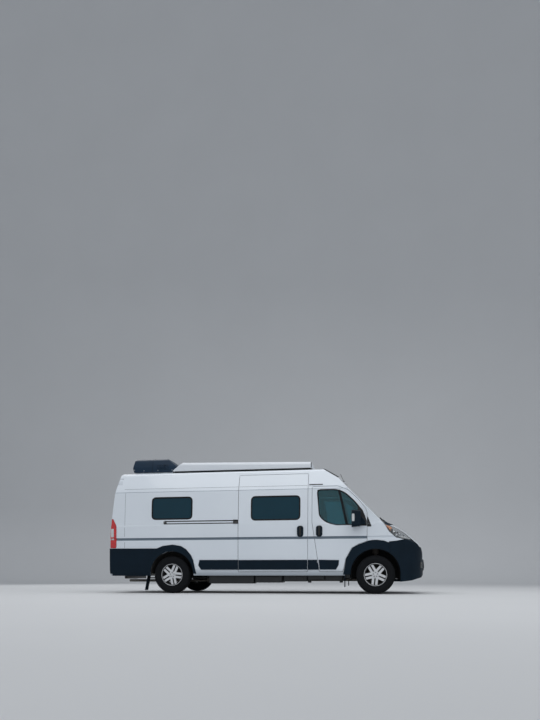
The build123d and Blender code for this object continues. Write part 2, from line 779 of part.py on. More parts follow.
# Living space: kitchen, wardrobe, bed frame and overhead lockers
with BuildPart() as furniture:
    add(box((-1325, -950, floor_top), (-480, -460, 1420)))
    add(box((-1325, 420, floor_top), (-350, 905, 2000)))
    add(box((-2990, -640, floor_top), (-1700, 640, 900)))
    add(box((-2990, -945, 874), (-1700, 945, 900)))
    add(both_sides(box((-2900, -775, 2010), (-500, -520, 2290))))
keep(furniture.part, "furniture")
with BuildPart() as mattress:
    add(box((-2985, -935, 902), (-1705, 935, 1040)))
    fillet(mattress.edges().filter_by(Axis.Z), radius=60)
keep(mattress.part, "mattress")

# Knuckles: upright, brake disc, caliper, spindle and spring strut, for the right side
wheel_y = front_track / 2
with BuildPart() as knuckle:
    add(box((front_axle - 34, -885, 236), (front_axle + 34, -800, 522)))
    add(box((front_axle - 30, -820, 470), (front_axle + 30, -735, 522)))
    add(bar_along((front_axle, -755, 500), (front_axle, -755, 905), 28))
    add(bar_along((front_axle, -755, 775), (front_axle, -755, 895), 62))
    add(tube_y(front_axle, tyre_radius, 62, -885, -780))
    add(tube_y(front_axle, tyre_radius, 150, -wheel_y - 12, -wheel_y + 14))
    add(tube_y(front_axle, tyre_radius, spindle, -wheel_y - 45, -880))
    add(box((front_axle - 146, -wheel_y - 30, 322), (front_axle - 98, -860, 422)))
    add(box((front_axle - 130, -868, 350), (front_axle, -848, 400)))
keep(knuckle.part, "knuckle_right")
keep(flipped(knuckle.part), "knuckle_left")

# Wheels: five pairs of spokes carry the rim from the hub, all on the Y axis with the face towards +Y
with BuildPart() as rim:
    with BuildSketch(Plane.YZ):
        with BuildLine():
            Polyline(
                (-95, 219), (-87, 219), (-85, 204), (-40, 202), (-20, 181), (25, 181), (45, 202), (85, 204), (87, 219),
                (95, 219), (95, 209), (80, 195), (50, 191), (28, 171), (-22, 171), (-44, 191), (-80, 194), (-95, 209),
                close=True)
        make_face()
    revolve(axis=Axis.Y)
    with BuildSketch(Plane.XZ.offset(-hub_face)):
        Circle(74)
    extrude(amount=hub_face - 20)
    with BuildSketch(Plane.XZ.offset(-spoke_face)):
        with PolarLocations(spoke_middle, spoke_pairs, start_angle=90):
            with Locations((0, spoke_offset), (0, -spoke_offset)):
                Rectangle(2 * spoke_middle - 80, spoke_width)
        Circle(62)
        Circle(200, mode=Mode.INTERSECT)
    extrude(amount=spoke_face - 44)
    with BuildSketch(Plane.XZ.offset(-hub_face - 12)):
        Circle(31)
    extrude(amount=30)
    with BuildSketch(Plane.XZ.offset(-spindle_end)):
        Circle(spindle + 2)
    extrude(amount=spindle_end, mode=Mode.SUBTRACT)

with BuildPart() as tyre:
    with BuildSketch(Plane.YZ):
        with BuildLine():
            Polyline((-84, 224), (-80, 206), (80, 206), (84, 224))
            ThreePointArc((84, 224), (tyre_width / 2, 290), (99, 352))
            ThreePointArc((99, 352), (92, 363), (80, 367))
            ThreePointArc((80, 367), (0, tyre_radius), (-80, 367))
            ThreePointArc((-80, 367), (-92, 363), (-99, 352))
            ThreePointArc((-99, 352), (-tyre_width / 2, 290), (-84, 224))
        make_face()
    revolve(axis=Axis.Y)

wheel_places = [
    ("front_left", front_axle, front_track / 2, 0, 30),
    ("front_right", front_axle, -front_track / 2, 180, 30),
    ("rear_left", rear_axle, rear_track / 2, 0, -24),
    ("rear_right", rear_axle, -rear_track / 2, 180, -24),
]
for label, x, y, turn, spin in wheel_places:
    for name, piece in (("rim", rim.part), ("tyre", tyre.part)):
        with BuildPart() as placed:
            with Locations(Location((x, y, tyre_radius), (0, 0, turn)) * Location((0, 0, 0), (0, spin, 0))):
                add(piece)
        keep(placed.part, name + "_" + label)
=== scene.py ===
# %% [markdown]
# # A camper van, dressed over its CAD frame
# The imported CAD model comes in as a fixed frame. Every piece made here rides on one of its bodies,
# so doors, lid and wheels still move. Placed by hand, the two models would drift apart.
# Lengths in the tables are millimetres, as on a drawing.

# %% Load the frame and keep its box
import bmesh
import bpy
import json
from math import asin, ceil, copysign, cos, hypot, pi, radians, sin, tan
from mathutils import Matrix, Vector
from mathutils.bvhtree import BVHTree

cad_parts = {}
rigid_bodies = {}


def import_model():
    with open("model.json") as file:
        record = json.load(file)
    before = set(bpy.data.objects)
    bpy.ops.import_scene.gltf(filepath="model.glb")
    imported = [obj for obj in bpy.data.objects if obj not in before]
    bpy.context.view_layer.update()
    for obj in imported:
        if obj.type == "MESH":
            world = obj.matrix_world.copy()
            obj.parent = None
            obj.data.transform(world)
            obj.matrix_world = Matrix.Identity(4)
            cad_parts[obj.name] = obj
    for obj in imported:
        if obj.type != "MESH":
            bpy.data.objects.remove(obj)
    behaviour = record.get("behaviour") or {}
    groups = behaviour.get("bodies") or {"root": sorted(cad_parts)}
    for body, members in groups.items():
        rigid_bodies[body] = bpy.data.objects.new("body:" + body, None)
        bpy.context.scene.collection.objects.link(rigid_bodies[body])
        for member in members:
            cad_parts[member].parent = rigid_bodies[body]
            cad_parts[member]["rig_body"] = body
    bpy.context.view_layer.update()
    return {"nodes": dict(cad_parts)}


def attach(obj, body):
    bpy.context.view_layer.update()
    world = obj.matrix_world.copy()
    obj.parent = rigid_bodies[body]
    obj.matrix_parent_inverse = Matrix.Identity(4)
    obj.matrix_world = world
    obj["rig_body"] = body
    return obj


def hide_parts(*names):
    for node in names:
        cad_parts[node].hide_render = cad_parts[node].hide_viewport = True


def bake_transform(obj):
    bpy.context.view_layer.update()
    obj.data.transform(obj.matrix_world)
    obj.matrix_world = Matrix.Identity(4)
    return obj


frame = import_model()
nodes = frame["nodes"]
mm = 0.001

# Forward, and across to the left
ahead, across = Vector((1, 0, 0)), Vector((0, 1, 0))
# The two sides of the van, each with the sign of its Y
turns = {"right": -1, "left": 1}
# X of each axle, the height of the wheel centres and of the middle of the arches, in mm
front_axle, rear_axle, hub_height, arch_height = 2221.5, -1813.5, 372, 395

# %% [markdown]
# ## One way to add a node
# Shader trees and geometry trees are built the same way: a node, its settings, and for each input
# either a value or the output that feeds it. A tree could be drawn in the node editor instead, but a
# script can be read and changed in one place. One small function keeps the recipes readable.

# %% Helpers for node trees, colours and objects


def add_node(tree, kind, inputs=None, **settings):
    """Add a node, give it its settings, and set or link its inputs"""
    made = tree.nodes.new(kind)
    for key, value in settings.items():
        setattr(made, key, value)
    for key, value in (inputs or {}).items():
        if isinstance(value, bpy.types.NodeSocket):
            tree.links.new(value, made.inputs[key])
        else:
            made.inputs[key].default_value = value
    return made


def linear(code):
    """sRGB hex colour as linear red, green, blue and alpha"""
    parts = [int(code[i:i + 2], 16) / 255 for i in (0, 2, 4)]
    return tuple(p / 12.92 if p <= 0.04045 else ((p + 0.055) / 1.055) ** 2.4 for p in parts) + (1.0,)


def at(x, y, z):
    """Point given in mm"""
    return Vector((x, y, z)) * mm


def linked(name, data):
    """New object in the scene"""
    obj = bpy.data.objects.new(name, data)
    bpy.context.scene.collection.objects.link(obj)
    return obj


def plain(holder):
    """Mesh of an object with its modifiers applied; the object goes"""
    done = bpy.data.meshes.new_from_object(holder.evaluated_get(bpy.context.evaluated_depsgraph_get()))
    bpy.data.objects.remove(holder)
    return done


# %% [markdown]
# ## Finishes
# Most surfaces of a vehicle are one base colour that varies a little over a hand's width, with a fine
# relief on top: orange peel in paint, grain in moulded plastic, cast skin on iron. So one recipe mixes
# a darker and a lighter tone by a broad noise, and lifts the surface by a fine one. A picture wrapped
# round the body would need seams; noise that reads the place in space runs on across every gap.

# %% A finish: two tones, a broad drift and a fine relief


def press(tree, height, relief_mm):
    """Press a height pattern into the surface as its relief"""
    relief = add_node(tree, "ShaderNodeBump", {"Height": height, "Distance": relief_mm * mm, "Strength": 1})
    tree.links.new(relief.outputs[0], tree.nodes["Principled BSDF"].inputs["Normal"])


def finish(name, dark, light, roughness, drift_mm, grain_mm, relief_mm, stretch=(1, 1, 1), **sockets):
    """Material whose tone drifts between two colours, with a fine relief of the given grain"""
    material = bpy.data.materials.new(name)
    material.use_nodes = True
    tree = material.node_tree
    shader = tree.nodes["Principled BSDF"]
    shader.inputs["Roughness"].default_value = roughness
    for socket, value in sockets.items():
        shader.inputs[socket.replace("_", " ")].default_value = value
    place = add_node(tree, "ShaderNodeTexCoord")
    way = add_node(tree, "ShaderNodeMapping", {"Vector": place.outputs["Object"], "Scale": stretch})
    drift = add_node(tree, "ShaderNodeTexNoise", {
        "Vector": way.outputs[0], "Scale": 1 / (drift_mm * mm), "Detail": 5})
    tone = add_node(tree, "ShaderNodeMix", {
        0: drift.outputs[0], 6: linear(dark), 7: linear(light)}, data_type="RGBA")
    tree.links.new(tone.outputs[2], shader.inputs["Base Color"])
    grain = add_node(tree, "ShaderNodeTexNoise", {
        "Vector": way.outputs[0], "Scale": 1 / (grain_mm * mm), "Detail": 3})
    press(tree, grain.outputs[0], relief_mm)
    return material


# Two-layer body paint: a cool white base under clear lacquer, with faint orange peel
paint = finish("white_body_paint", "D1D9E1", "DDE4EB", 0.34, 900, 6, 0.012, Coat_Weight=1.0, Coat_Roughness=0.04)
# Painted shade on the lowest hand's width of the sills: darkened to blue-grey, darkest at the edge, for the shade
# and the dark ground they reflect, with a little road film
tree = paint.node_tree
colour = tree.nodes["Principled BSDF"].inputs["Base Color"]
place = add_node(tree, "ShaderNodeTexCoord")
height = add_node(tree, "ShaderNodeSeparateXYZ", {0: place.outputs["Object"]})
sill_shade_weight = add_node(tree, "ShaderNodeMapRange", {
    "Value": height.outputs["Z"], "From Min": 0.38, "From Max": 0.50, "To Min": 0.6, "To Max": 0.0})
sill_shade_mix = {0: sill_shade_weight.outputs[0], 6: colour.links[0].from_socket, 7: linear("5C6A76")}
tree.links.new(add_node(tree, "ShaderNodeMix", sill_shade_mix, data_type="RGBA").outputs[2], colour)
# Gelcoat on glass fibre: a little warmer and softer in gloss than the paint, with mould waves
gelcoat = finish("white_gelcoat", "CDD3DA", "D9DEE3", 0.45, 500, 40, 0.15, Coat_Weight=0.25, Coat_Roughness=0.2)
# Unpainted polypropylene with a fine leather grain: near black, dull, grey where it has weathered
cladding_plastic = finish(
    "grained_black_polypropylene", "03131E", "071D2B", 0.55, 260, 1.6, 0.08, Specular_IOR_Level=0.15)
# Injection-moulded ABS of grips, wipers, pillar corners and plate lands: black with a soft sheen
smooth_black = finish("smooth_black_abs", "0D0F10", "17191A", 0.30, 300, 3, 0.01)
# Extruded rubber of window beads, seals and hoses: dull with a dusty bloom
seal_rubber = finish("black_epdm_seal", "0A0D10", "14181C", 0.75, 90, 1.2, 0.05, Specular_IOR_Level=0.25)
# Cast aluminium under silver lacquer: bright, with fine flake
wheel_silver = finish(
    "silver_lacquered_alloy", "C6C9CC", "DCDEE0", 0.34, 120, 0.8, 0.01, Metallic=0.35, Coat_Weight=0.5)
# Tyre compound: dark grey, bloomed by sun and dust
tyre_rubber = finish("tyre_rubber", "090B0E", "111418", 0.85, 60, 2.5, 0.15, Specular_IOR_Level=0.2)
# Cast iron of knuckles and calipers: dark brown-grey sand-cast skin
cast_iron = finish("sand_cast_iron", "2C2926", "4A4540", 0.75, 50, 1.8, 0.35, Metallic=0.35)
# Sprayed underseal on floor and rails: rubbery black, with dust on it
underseal = finish("sprayed_underseal", "17181A", "2B2A28", 0.82, 220, 3.5, 0.6)
# Blow-moulded polyethylene tanks: waxy dark grey
tank_plastic = finish("blow_moulded_polyethylene", "17191B", "26292B", 0.48, 200, 8, 0.12)
# Aluminised exhaust steel: dull grey with brown heat bloom
exhaust_steel = finish("aluminised_exhaust_steel", "5A544C", "8B8780", 0.46, 90, 1.5, 0.05, Metallic=0.85)
# As-cast alloy of the engine block: mid grey and dull, it lies in the shade
engine_alloy = finish("cast_engine_alloy", "3F4245", "5D6063", 0.55, 80, 2.5, 0.2, Metallic=0.5)
# Air conditioner shroud: UV-stable dark grey plastic with a satin spark-eroded skin
cooler_plastic = finish("satin_asa_plastic", "0A2234", "102C42", 0.4, 300, 1.5, 0.04, Specular_IOR_Level=0.3)
# Dashboard skin: slush-moulded dark grey with leather grain
dash_plastic = finish("slush_moulded_dash_skin", "1E2023", "2A2D30", 0.62, 200, 1.8, 0.16)
# Wall and ceiling lining: pale felt over board
lining_felt = finish("pale_needle_felt", "A9A8A4", "BEBDB8", 0.95, 60, 2.2, 0.5, Sheen_Weight=0.3)
# Floor covering: grey-brown vinyl planks
floor_vinyl = finish("grey_floor_vinyl", "6B6259", "857A6E", 0.5, 90, 1.5, 0.05, (0.25, 1, 1))
# Cabinet board: light oak laminate, its grain running up
oak_laminate = finish("light_oak_laminate", "A98258", "C8A276", 0.42, 28, 1.4, 0.05, (1, 1, 0.06), Coat_Weight=0.15)
# Stone-look laminate of the worktop: dark, matt, with a fine speckle
worktop = finish("stone_look_worktop", "33322F", "55524D", 0.4, 12, 1.0, 0.02)
# Brushed stainless steel: sink, tap and handles
stainless = finish("brushed_stainless", "A5A7A9", "C6C8C9", 0.28, 40, 0.8, 0.01, (0.05, 1, 1), Metallic=1.0)
# Vacuum-coated reflector bowl: bright silver that throws the light back
reflector = finish("aluminised_reflector", "E4E6E8", "F2F3F4", 0.16, 50, 3, 0.01, Metallic=0.9)
# Painted shade in the pressed grooves of the panels, with some road dust in it: flat blue-grey
groove_shade = finish("painted_groove_shade_with_dust", "64727E", "707E8A", 0.7, 300, 5, 0.02)
# Seam sealer brushed into the panel joints: mid grey, matt
seam_sealer = finish("grey_seam_sealer", "6A7276", "788085", 0.8, 60, 2, 0.05)
# Painted shade inside the rims, over baked brake dust: dark brown-black, dull
rim_dust_and_shade = finish("brake_dust_and_painted_shade", "0E0F10", "191A1B", 0.8, 40, 1.5, 0.05)
# Carpet-like moulded arch liner: soft black, it swallows light
wheel_liner = finish("needled_arch_liner", "0B0C0D", "131416", 0.95, 90, 2.5, 0.3)
# Metallised housing behind the lamp covers: soft silver, it lifts the lamp out of the shade
lamp_housing = finish("metallised_lamp_housing", "A8AEB4", "B8BEC4", 0.28, 60, 3, 0.02, Metallic=0.4)
# White reflective sheet on aluminium, for the blank plates: flat, even and bright
plate_white = finish("blank_plate_sheet", "D4D6D4", "DEE0DE", 0.35, 60, 0.8, 0.01)
print("plain finishes:", len(bpy.data.materials))

# %% [markdown]
# ## Woven, quilted and clear finishes
# Cloth needs its threads: two crossed waves, a few millimetres apart, press the weave into the surface.
# Real threads of 1 mm would vanish in the picture, so they are drawn about three times as coarse.
# Waves in space spare the pads an unwrapping, which a picture of cloth would need.
# Glass and lamp lenses are one clear shell each, so they only need tint, gloss and a faint ripple.

# %% Cloth and glass


def cloth(name, dark, light, thread_mm, relief_mm, **sockets):
    """Woven cloth: the drifting tone of a finish, with two crossed waves as its relief"""
    material = finish(name, dark, light, 0.9, 150, 2.0, 0.2, Sheen_Weight=0.25, **sockets)
    tree = material.node_tree
    place = add_node(tree, "ShaderNodeTexCoord")
    turned = add_node(tree, "ShaderNodeMapping", {"Vector": place.outputs["Object"], "Rotation": (0.6, 0.5, 0.785)})
    waves = [
        add_node(tree, "ShaderNodeTexWave", {"Vector": turned.outputs[0], "Scale": 0.314 / (thread_mm * mm)},
                 bands_direction=direction)
        for direction in ("X", "Y")
    ]
    weave = add_node(tree, "ShaderNodeMath", {0: waves[0].outputs[1], 1: waves[1].outputs[1]}, operation="MULTIPLY")
    press(tree, weave.outputs[0], relief_mm)
    return material


# Flat-woven polyester of the seats: mid grey, matt, its threads just to be seen
seat_cloth = cloth("grey_seat_cloth", "2E3034", "44474C", 4, 0.5)
# Cotton ticking of the mattress: pale and soft, it glows a little at the edges
mattress_ticking = cloth("quilted_mattress_ticking", "B9B4A9", "CFCAC0", 5, 0.6)
# Coated canvas of the tent: dark grey and dull, with a tight weave
tent_canvas = cloth("coated_tent_canvas", "3A3E43", "4B5056", 3.5, 0.4)
# Insect net of the tent window: open mesh that reads as a dark panel
tent_net = cloth("insect_net", "101214", "1A1D20", 3, 0.6)

# Float glass with a dark body tint: mostly reflection, a dim look inside
tinted_glass = finish(
    "dark_tinted_glass", "043240", "083C4C", 0.05, 700, 300, 0.05,
    Specular_IOR_Level=0.25, Transmission_Weight=0.25, IOR=1.5)
# Tempered glass of the cab doors: green-blue tint, the cab shows dimly through it
door_glass = finish(
    "tinted_door_glass", "4E98A4", "58A2AE", 0.03, 700, 300, 0.05, Transmission_Weight=0.88, IOR=1.5)
# Laminated windscreen: lighter green tint, clearly see-through
clear_glass = finish(
    "laminated_windscreen", "5F7476", "6A8082", 0.02, 700, 300, 0.05, Transmission_Weight=0.9, IOR=1.5)
# Polycarbonate headlamp cover: clear, hard-coated
lamp_cover = finish(
    "clear_polycarbonate", "E6EAEC", "F2F5F6", 0.03, 300, 60, 0.1, Transmission_Weight=0.95, IOR=1.58)
# Moulded acrylic of the tail lamps: deep red with a glossy skin
red_lens = finish(
    "red_acrylic_lens", "B40A12", "D0121A", 0.14, 60, 6, 0.25, Transmission_Weight=0.08, Coat_Weight=1.0)
# The same acrylic over the unlit turn lamps: nearly black red
dark_red_lens = finish(
    "dark_red_acrylic_lens", "4A0608", "5E090B", 0.14, 60, 6, 0.25, Transmission_Weight=0.2, Coat_Weight=1.0)
# Amber acrylic of the front turn lamps: warm orange, lit from behind by the housing
amber_lens = finish(
    "amber_acrylic_lens", "D8741A", "EE9432", 0.12, 60, 6, 0.25, Transmission_Weight=0.25, Coat_Weight=1.0)
# Frosted acrylic: milky white, it shows no bulb behind it
white_lens = finish(
    "frosted_acrylic_lens", "C9CDD0", "E2E5E7", 0.16, 60, 5, 0.3, Transmission_Weight=0.2, Coat_Weight=1.0)
# Silvered mirror glass: a sharp picture of what is behind the van
mirror_glass = finish("silvered_mirror", "C4CBCF", "D2D8DB", 0.03, 400, 200, 0.01, Metallic=1.0)
print("all finishes:", len(bpy.data.materials))

# %% [markdown]
# ## From mesh to piece
# A piece is a mesh whose place is in its points, one or more finishes, and the body that carries it.
# Where it stands for CAD nodes, those are hidden and stay for collision. Edges could be rounded by
# hand, but a bevel that looks at the angle finds them all, and weighted normals keep flat faces flat.

# %% Helpers for pieces


def piece(name, mesh, skin=None, body="van", replaced=()):
    """Put a mesh in the scene as a piece of the van; cloth between two bodies rides on none"""
    obj = linked(name, mesh)
    if skin:
        mesh.materials.clear()
        mesh.materials.append(skin)
    if body:
        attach(obj, body)
    if replaced:
        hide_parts(*replaced)
    return obj


def rounded(mesh, edge_mm, segments=2, angle=32, levels=0, clamp=False):
    """The mesh with its edges rounded and its faces shaded as one surface"""
    if not len(mesh.materials):
        mesh.materials.append(paint)
    holder = linked("holder", mesh)
    mesh.shade_smooth()
    if edge_mm:
        bevel = holder.modifiers.new("edge", "BEVEL")
        bevel.width, bevel.segments, bevel.use_clamp_overlap = edge_mm * mm, segments, clamp
        bevel.angle_limit = radians(angle)
    if levels:
        soften = holder.modifiers.new("soften", "SUBSURF")
        soften.levels = soften.render_levels = levels
    even = holder.modifiers.new("even", "WEIGHTED_NORMAL")
    even.keep_sharp = True
    return plain(holder)


def node_mesh(bm):
    """A bmesh as a mesh; the bmesh goes"""
    mesh = bpy.data.meshes.new("shape")
    bm.to_mesh(mesh)
    bm.free()
    return mesh


def cad_bmesh(node):
    """Merged copy of a CAD node's mesh, its flat faces joined up"""
    bm = bmesh.new()
    bm.from_mesh(nodes[node].data)
    bmesh.ops.remove_doubles(bm, verts=bm.verts, dist=0.01 * mm)
    bmesh.ops.dissolve_limit(bm, angle_limit=radians(0.3), verts=bm.verts, edges=bm.edges)
    return bm


# %% [markdown]
# ## Things that follow a line, things that repeat
# Seals, seams and window beads are one section drawn along a line; bolts, slats and tread blocks are one
# shape set down many times. Geometry Nodes do both, so one number changes them all. The lines are drawn
# on a side view of the van and dropped onto its panels by rays, so that they lie on the real surface.

# %% Geometry trees: a section along a line, a shape on points


def start_tree(name, inputs):
    """New geometry tree with its named inputs, and its group input node"""
    tree = bpy.data.node_groups.new(name, "GeometryNodeTree")
    tree.interface.new_socket("Geometry", in_out="OUTPUT", socket_type="NodeSocketGeometry")
    for label, kind in [("Geometry", "Geometry"), ("Material", "Material")] + inputs:
        tree.interface.new_socket(label, in_out="INPUT", socket_type="NodeSocket" + kind)
    return tree, add_node(tree, "NodeGroupInput").outputs


def end_tree(tree, geometry, given):
    """Close a geometry tree: plain mesh out, in one material"""
    whole = add_node(tree, "GeometryNodeRealizeInstances", {"Geometry": geometry})
    coated = add_node(tree, "GeometryNodeSetMaterial", {"Geometry": whole.outputs[0], "Material": given["Material"]})
    add_node(tree, "NodeGroupOutput", {0: coated.outputs[0]})
    return tree


def sweep_tree():
    """Draws a rounded section along the edges of a mesh, standing up along its attribute out"""
    tree, given = start_tree("sweep", [("Thickness", "Float"), ("Width", "Float"), ("Rounding", "Float")])
    line = add_node(tree, "GeometryNodeMeshToCurve", {"Mesh": given["Geometry"]})
    out = add_node(tree, "GeometryNodeInputNamedAttribute", {"Name": "out"}, data_type="FLOAT_VECTOR")
    stood = add_node(tree, "GeometryNodeSetCurveNormal", {
        "Curve": line.outputs[0], "Normal": out.outputs[0]}, mode="FREE")
    section = add_node(tree, "GeometryNodeCurvePrimitiveQuadrilateral", {
        "Width": given["Thickness"], "Height": given["Width"]})
    eased = add_node(tree, "GeometryNodeFilletCurve", {
        "Curve": section.outputs[0], "Count": 3, "Radius": given["Rounding"], "Limit Radius": True}, mode="POLY")
    drawn = add_node(tree, "GeometryNodeCurveToMesh", {
        "Curve": stood.outputs[0], "Profile Curve": eased.outputs[0], "Fill Caps": True})
    return end_tree(tree, drawn.outputs[0], given)


def scatter_tree():
    """Sets a shape on every point, its Z along the attribute out and its X along the attribute way"""
    tree, given = start_tree("scatter", [("Shape", "Object"), ("Size", "Float")])
    axes = [
        add_node(tree, "GeometryNodeInputNamedAttribute", {"Name": name}, data_type="FLOAT_VECTOR").outputs[0]
        for name in ("out", "way")
    ]
    turned = add_node(tree, "FunctionNodeAxesToRotation", {"Primary Axis": axes[0], "Secondary Axis": axes[1]},
                      primary_axis="Z", secondary_axis="X")
    shape = add_node(tree, "GeometryNodeObjectInfo", {"Object": given["Shape"]})
    spots = add_node(tree, "GeometryNodeMeshToPoints", {"Mesh": given["Geometry"]})
    copies = add_node(tree, "GeometryNodeInstanceOnPoints", {
        "Points": spots.outputs[0], "Instance": shape.outputs["Geometry"], "Rotation": turned.outputs[0],
        "Scale": given["Size"]})
    return end_tree(tree, copies.outputs[0], given)


sweep, scatter = sweep_tree(), scatter_tree()
print("geometry trees:", [tree.name for tree in bpy.data.node_groups])

# %% Run a tree and keep plain meshes


def grown(mesh, tree, **values):
    """Run a geometry tree on a mesh and keep the result as a plain mesh"""
    holder = linked("holder", mesh)
    runner = holder.modifiers.new("nodes", "NODES")
    runner.node_group = tree
    for item in tree.interface.items_tree:
        if item.in_out == "INPUT" and item.name in values:
            runner[item.identifier] = values[item.name]
    return plain(holder)


def swept(lines, skin, thick_mm, wide_mm, round_mm):
    """One section drawn along several lines, each a list of points with normals and whether it closes"""
    points, outs, edges = [], [], []
    for line, closed in lines:
        first = len(points)
        points += [spot for spot, normal in line]
        outs += [v for spot, normal in line for v in normal]
        edges += [(first + i, first + i + 1) for i in range(len(line) - 1)]
        edges += [(len(points) - 1, first)] if closed else []
    mesh = bpy.data.meshes.new("lines")
    mesh.from_pydata(points, edges, [])
    mesh.attributes.new("out", "FLOAT_VECTOR", "POINT").data.foreach_set("vector", outs)
    done = grown(mesh, sweep, Material=skin, Thickness=thick_mm * mm, Width=wide_mm * mm, Rounding=round_mm * mm)
    done.shade_smooth()
    done.set_sharp_from_angle(angle=radians(40))
    return done


def scattered(shape, spots, skin, size=1.0):
    """One shape set on several spots, each a point, an outward way and a way along"""
    holder = linked("shape", shape)
    mesh = bpy.data.meshes.new("spots")
    mesh.from_pydata([spot[0] for spot in spots], [], [])
    for index, name in ((1, "out"), (2, "way")):
        values = [v for spot in spots for v in spot[index]]
        mesh.attributes.new(name, "FLOAT_VECTOR", "POINT").data.foreach_set("vector", values)
    done = grown(mesh, scatter, Material=skin, Shape=holder, Size=size)
    bpy.data.objects.remove(holder)
    return done


# %% Lines and thin plates on the panels


def stepped(corners, radius_mm, step_mm, closed):
    """Even steps along a line through some corners, each corner eased by a curve through seven points"""
    eased = []
    for i, corner in enumerate(corners):
        here = Vector(corner)
        if not radius_mm or (not closed and i in (0, len(corners) - 1)):
            eased.append(here)
            continue
        before, after = Vector(corners[i - 1]) - here, Vector(corners[(i + 1) % len(corners)]) - here
        cut = min(radius_mm, before.length / 2.05, after.length / 2.05)
        start, end = here + before.normalized() * cut, here + after.normalized() * cut
        eased += [start.lerp(here, t / 6).lerp(here.lerp(end, t / 6), t / 6) for t in range(7)]
    steps = []
    for here, there in zip(eased, eased[1:] + (eased[:1] if closed else [])):
        count = max(1, ceil((there - here).length / step_mm))
        steps += [here.lerp(there, k / count) for k in range(count)]
    return steps if closed else steps + [eased[-1]]


def surface_of(*names):
    """Tree for rays that meet the faces of some CAD nodes"""
    bm = bmesh.new()
    for name in names:
        bm.from_mesh(nodes[name].data)
    tree = BVHTree.FromBMesh(bm)
    bm.free()
    return tree


# Each view: the ray's start and way for a place on it, in mm
views = {
    "right": lambda a, b: ((a, -1600, b), (0, 1, 0)), "left": lambda a, b: ((a, 1600, b), (0, -1, 0)),
    "rear": lambda a, b: ((-3600, a, b), (1, 0, 0)), "front": lambda a, b: ((3600, a, b), (-1, 0, 0)),
    "top": lambda a, b: ((a, b, 3400), (0, 0, -1)),
}


def met(surface, view, a, b, lift_mm=0.0):
    """Point and outward normal where a view's ray meets a surface"""
    start, way = views[view](a, b)
    spot, normal = surface.ray_cast(Vector(start) * mm, Vector(way))[:2]
    if spot is None:
        return None
    normal = -normal if normal.dot(Vector(way)) > 0 else normal
    return spot + normal * lift_mm * mm, normal


def traced(surface, view, corners, radius_mm, step_mm, closed, lift_mm):
    """Line drawn on a view, dropped onto a surface"""
    found = [met(surface, view, a, b, lift_mm) for a, b in stepped(corners, radius_mm, step_mm, closed)]
    return [hit for hit in found if hit], closed


def plate(surface, view, corners, radius_mm, thick_mm, grid_mm=45, edge_mm=0.6):
    """Thin plate with a rounded outline, lying on a surface and cut into a grid so that it follows it"""
    bm = bmesh.new()
    outline = stepped(corners, radius_mm, 1e6, True)
    bm.faces.new([bm.verts.new((a, b, 0)) for a, b in outline])
    for axis in (0, 1):
        low, high = min(p[axis] for p in outline), max(p[axis] for p in outline)
        for k in range(1, ceil((high - low) / grid_mm)):
            spot, way = Vector((0, 0, 0)), Vector((0, 0, 0))
            spot[axis], way[axis] = low + k * grid_mm, 1
            bmesh.ops.bisect_plane(bm, geom=bm.verts[:] + bm.edges[:] + bm.faces[:], plane_co=spot, plane_no=way)
    hits = {v: met(surface, view, v.co.x, v.co.y) for v in bm.verts}
    bmesh.ops.delete(bm, geom=[v for v, hit in hits.items() if not hit], context="VERTS")
    lower = [v for v in bm.verts]
    for v in lower:
        v.co = hits[v][0] - hits[v][1] * 0.4 * mm
    upper = {v: bm.verts.new(hits[v][0] + hits[v][1] * thick_mm * mm) for v in lower}
    rims = [e for e in bm.edges if len(e.link_faces) == 1]
    for face in list(bm.faces):
        bm.faces.new([upper[v] for v in face.verts])
    for edge in rims:
        a, b = edge.verts
        bm.faces.new((a, b, upper[b], upper[a]))
    bmesh.ops.recalc_face_normals(bm, faces=bm.faces)
    return rounded(node_mesh(bm), edge_mm, 1)


def rectangle(low, high):
    """Corners of a rectangle from its low and high corner"""
    return [low, (high[0], low[1]), high, (low[0], high[1])]


def joined(meshes):
    """Several meshes as one"""
    bm = bmesh.new()
    for mesh in meshes:
        bm.from_mesh(mesh)
    done = node_mesh(bm)
    done.materials.append(meshes[0].materials[0] if len(meshes[0].materials) else paint)
    return done


def block(low, high, edge_mm, segments):
    """Rounded block between two opposite corners in mm"""
    bm = bmesh.new()
    bmesh.ops.create_cube(bm, size=1)
    low, high = Vector(map(min, low, high)) * mm, Vector(map(max, low, high)) * mm
    bm.transform(Matrix.Translation((low + high) / 2) @ Matrix.Diagonal((*(high - low), 1)))
    return rounded(node_mesh(bm), edge_mm, segments)


def spun(profile, steps, centre=(0, 0, 0), axis="Z", closed=False):
    """Ring or bowl: a profile of radius and height, in mm, turned about an axis through a centre in mm"""
    bm = bmesh.new()
    rows = []
    for k in range(steps):
        a = 2 * pi * k / steps
        ring = [at(r * cos(a), r * sin(a), h) for r, h in profile]
        rows.append([bm.verts.new(p) for p in ring])
    for row, after in zip(rows, rows[1:] + rows[:1]):
        for i in range(len(profile) if closed else len(profile) - 1):
            j = (i + 1) % len(profile)
            bm.faces.new((row[i], row[j], after[j], after[i]))
    bmesh.ops.remove_doubles(bm, verts=bm.verts, dist=0.001 * mm)
    bmesh.ops.recalc_face_normals(bm, faces=bm.faces)
    quarter = pi / 2
    turn = {"X": Matrix.Rotation(quarter, 4, "Y"), "Y": Matrix.Rotation(-quarter, 4, "X"), "Z": Matrix()}[axis]
    bm.transform(Matrix.Translation(Vector(centre) * mm) @ turn)
    mesh = node_mesh(bm)
    mesh.shade_smooth()
    mesh.set_sharp_from_angle(angle=radians(35))
    return mesh


def aimed(mesh, spot, way, axis="Z", other="Y"):
    """The mesh moved to a point in metres, its axis turned to a way"""
    mesh.transform(Matrix.Translation(spot) @ way.to_track_quat(axis, other).to_matrix().to_4x4())
    return mesh


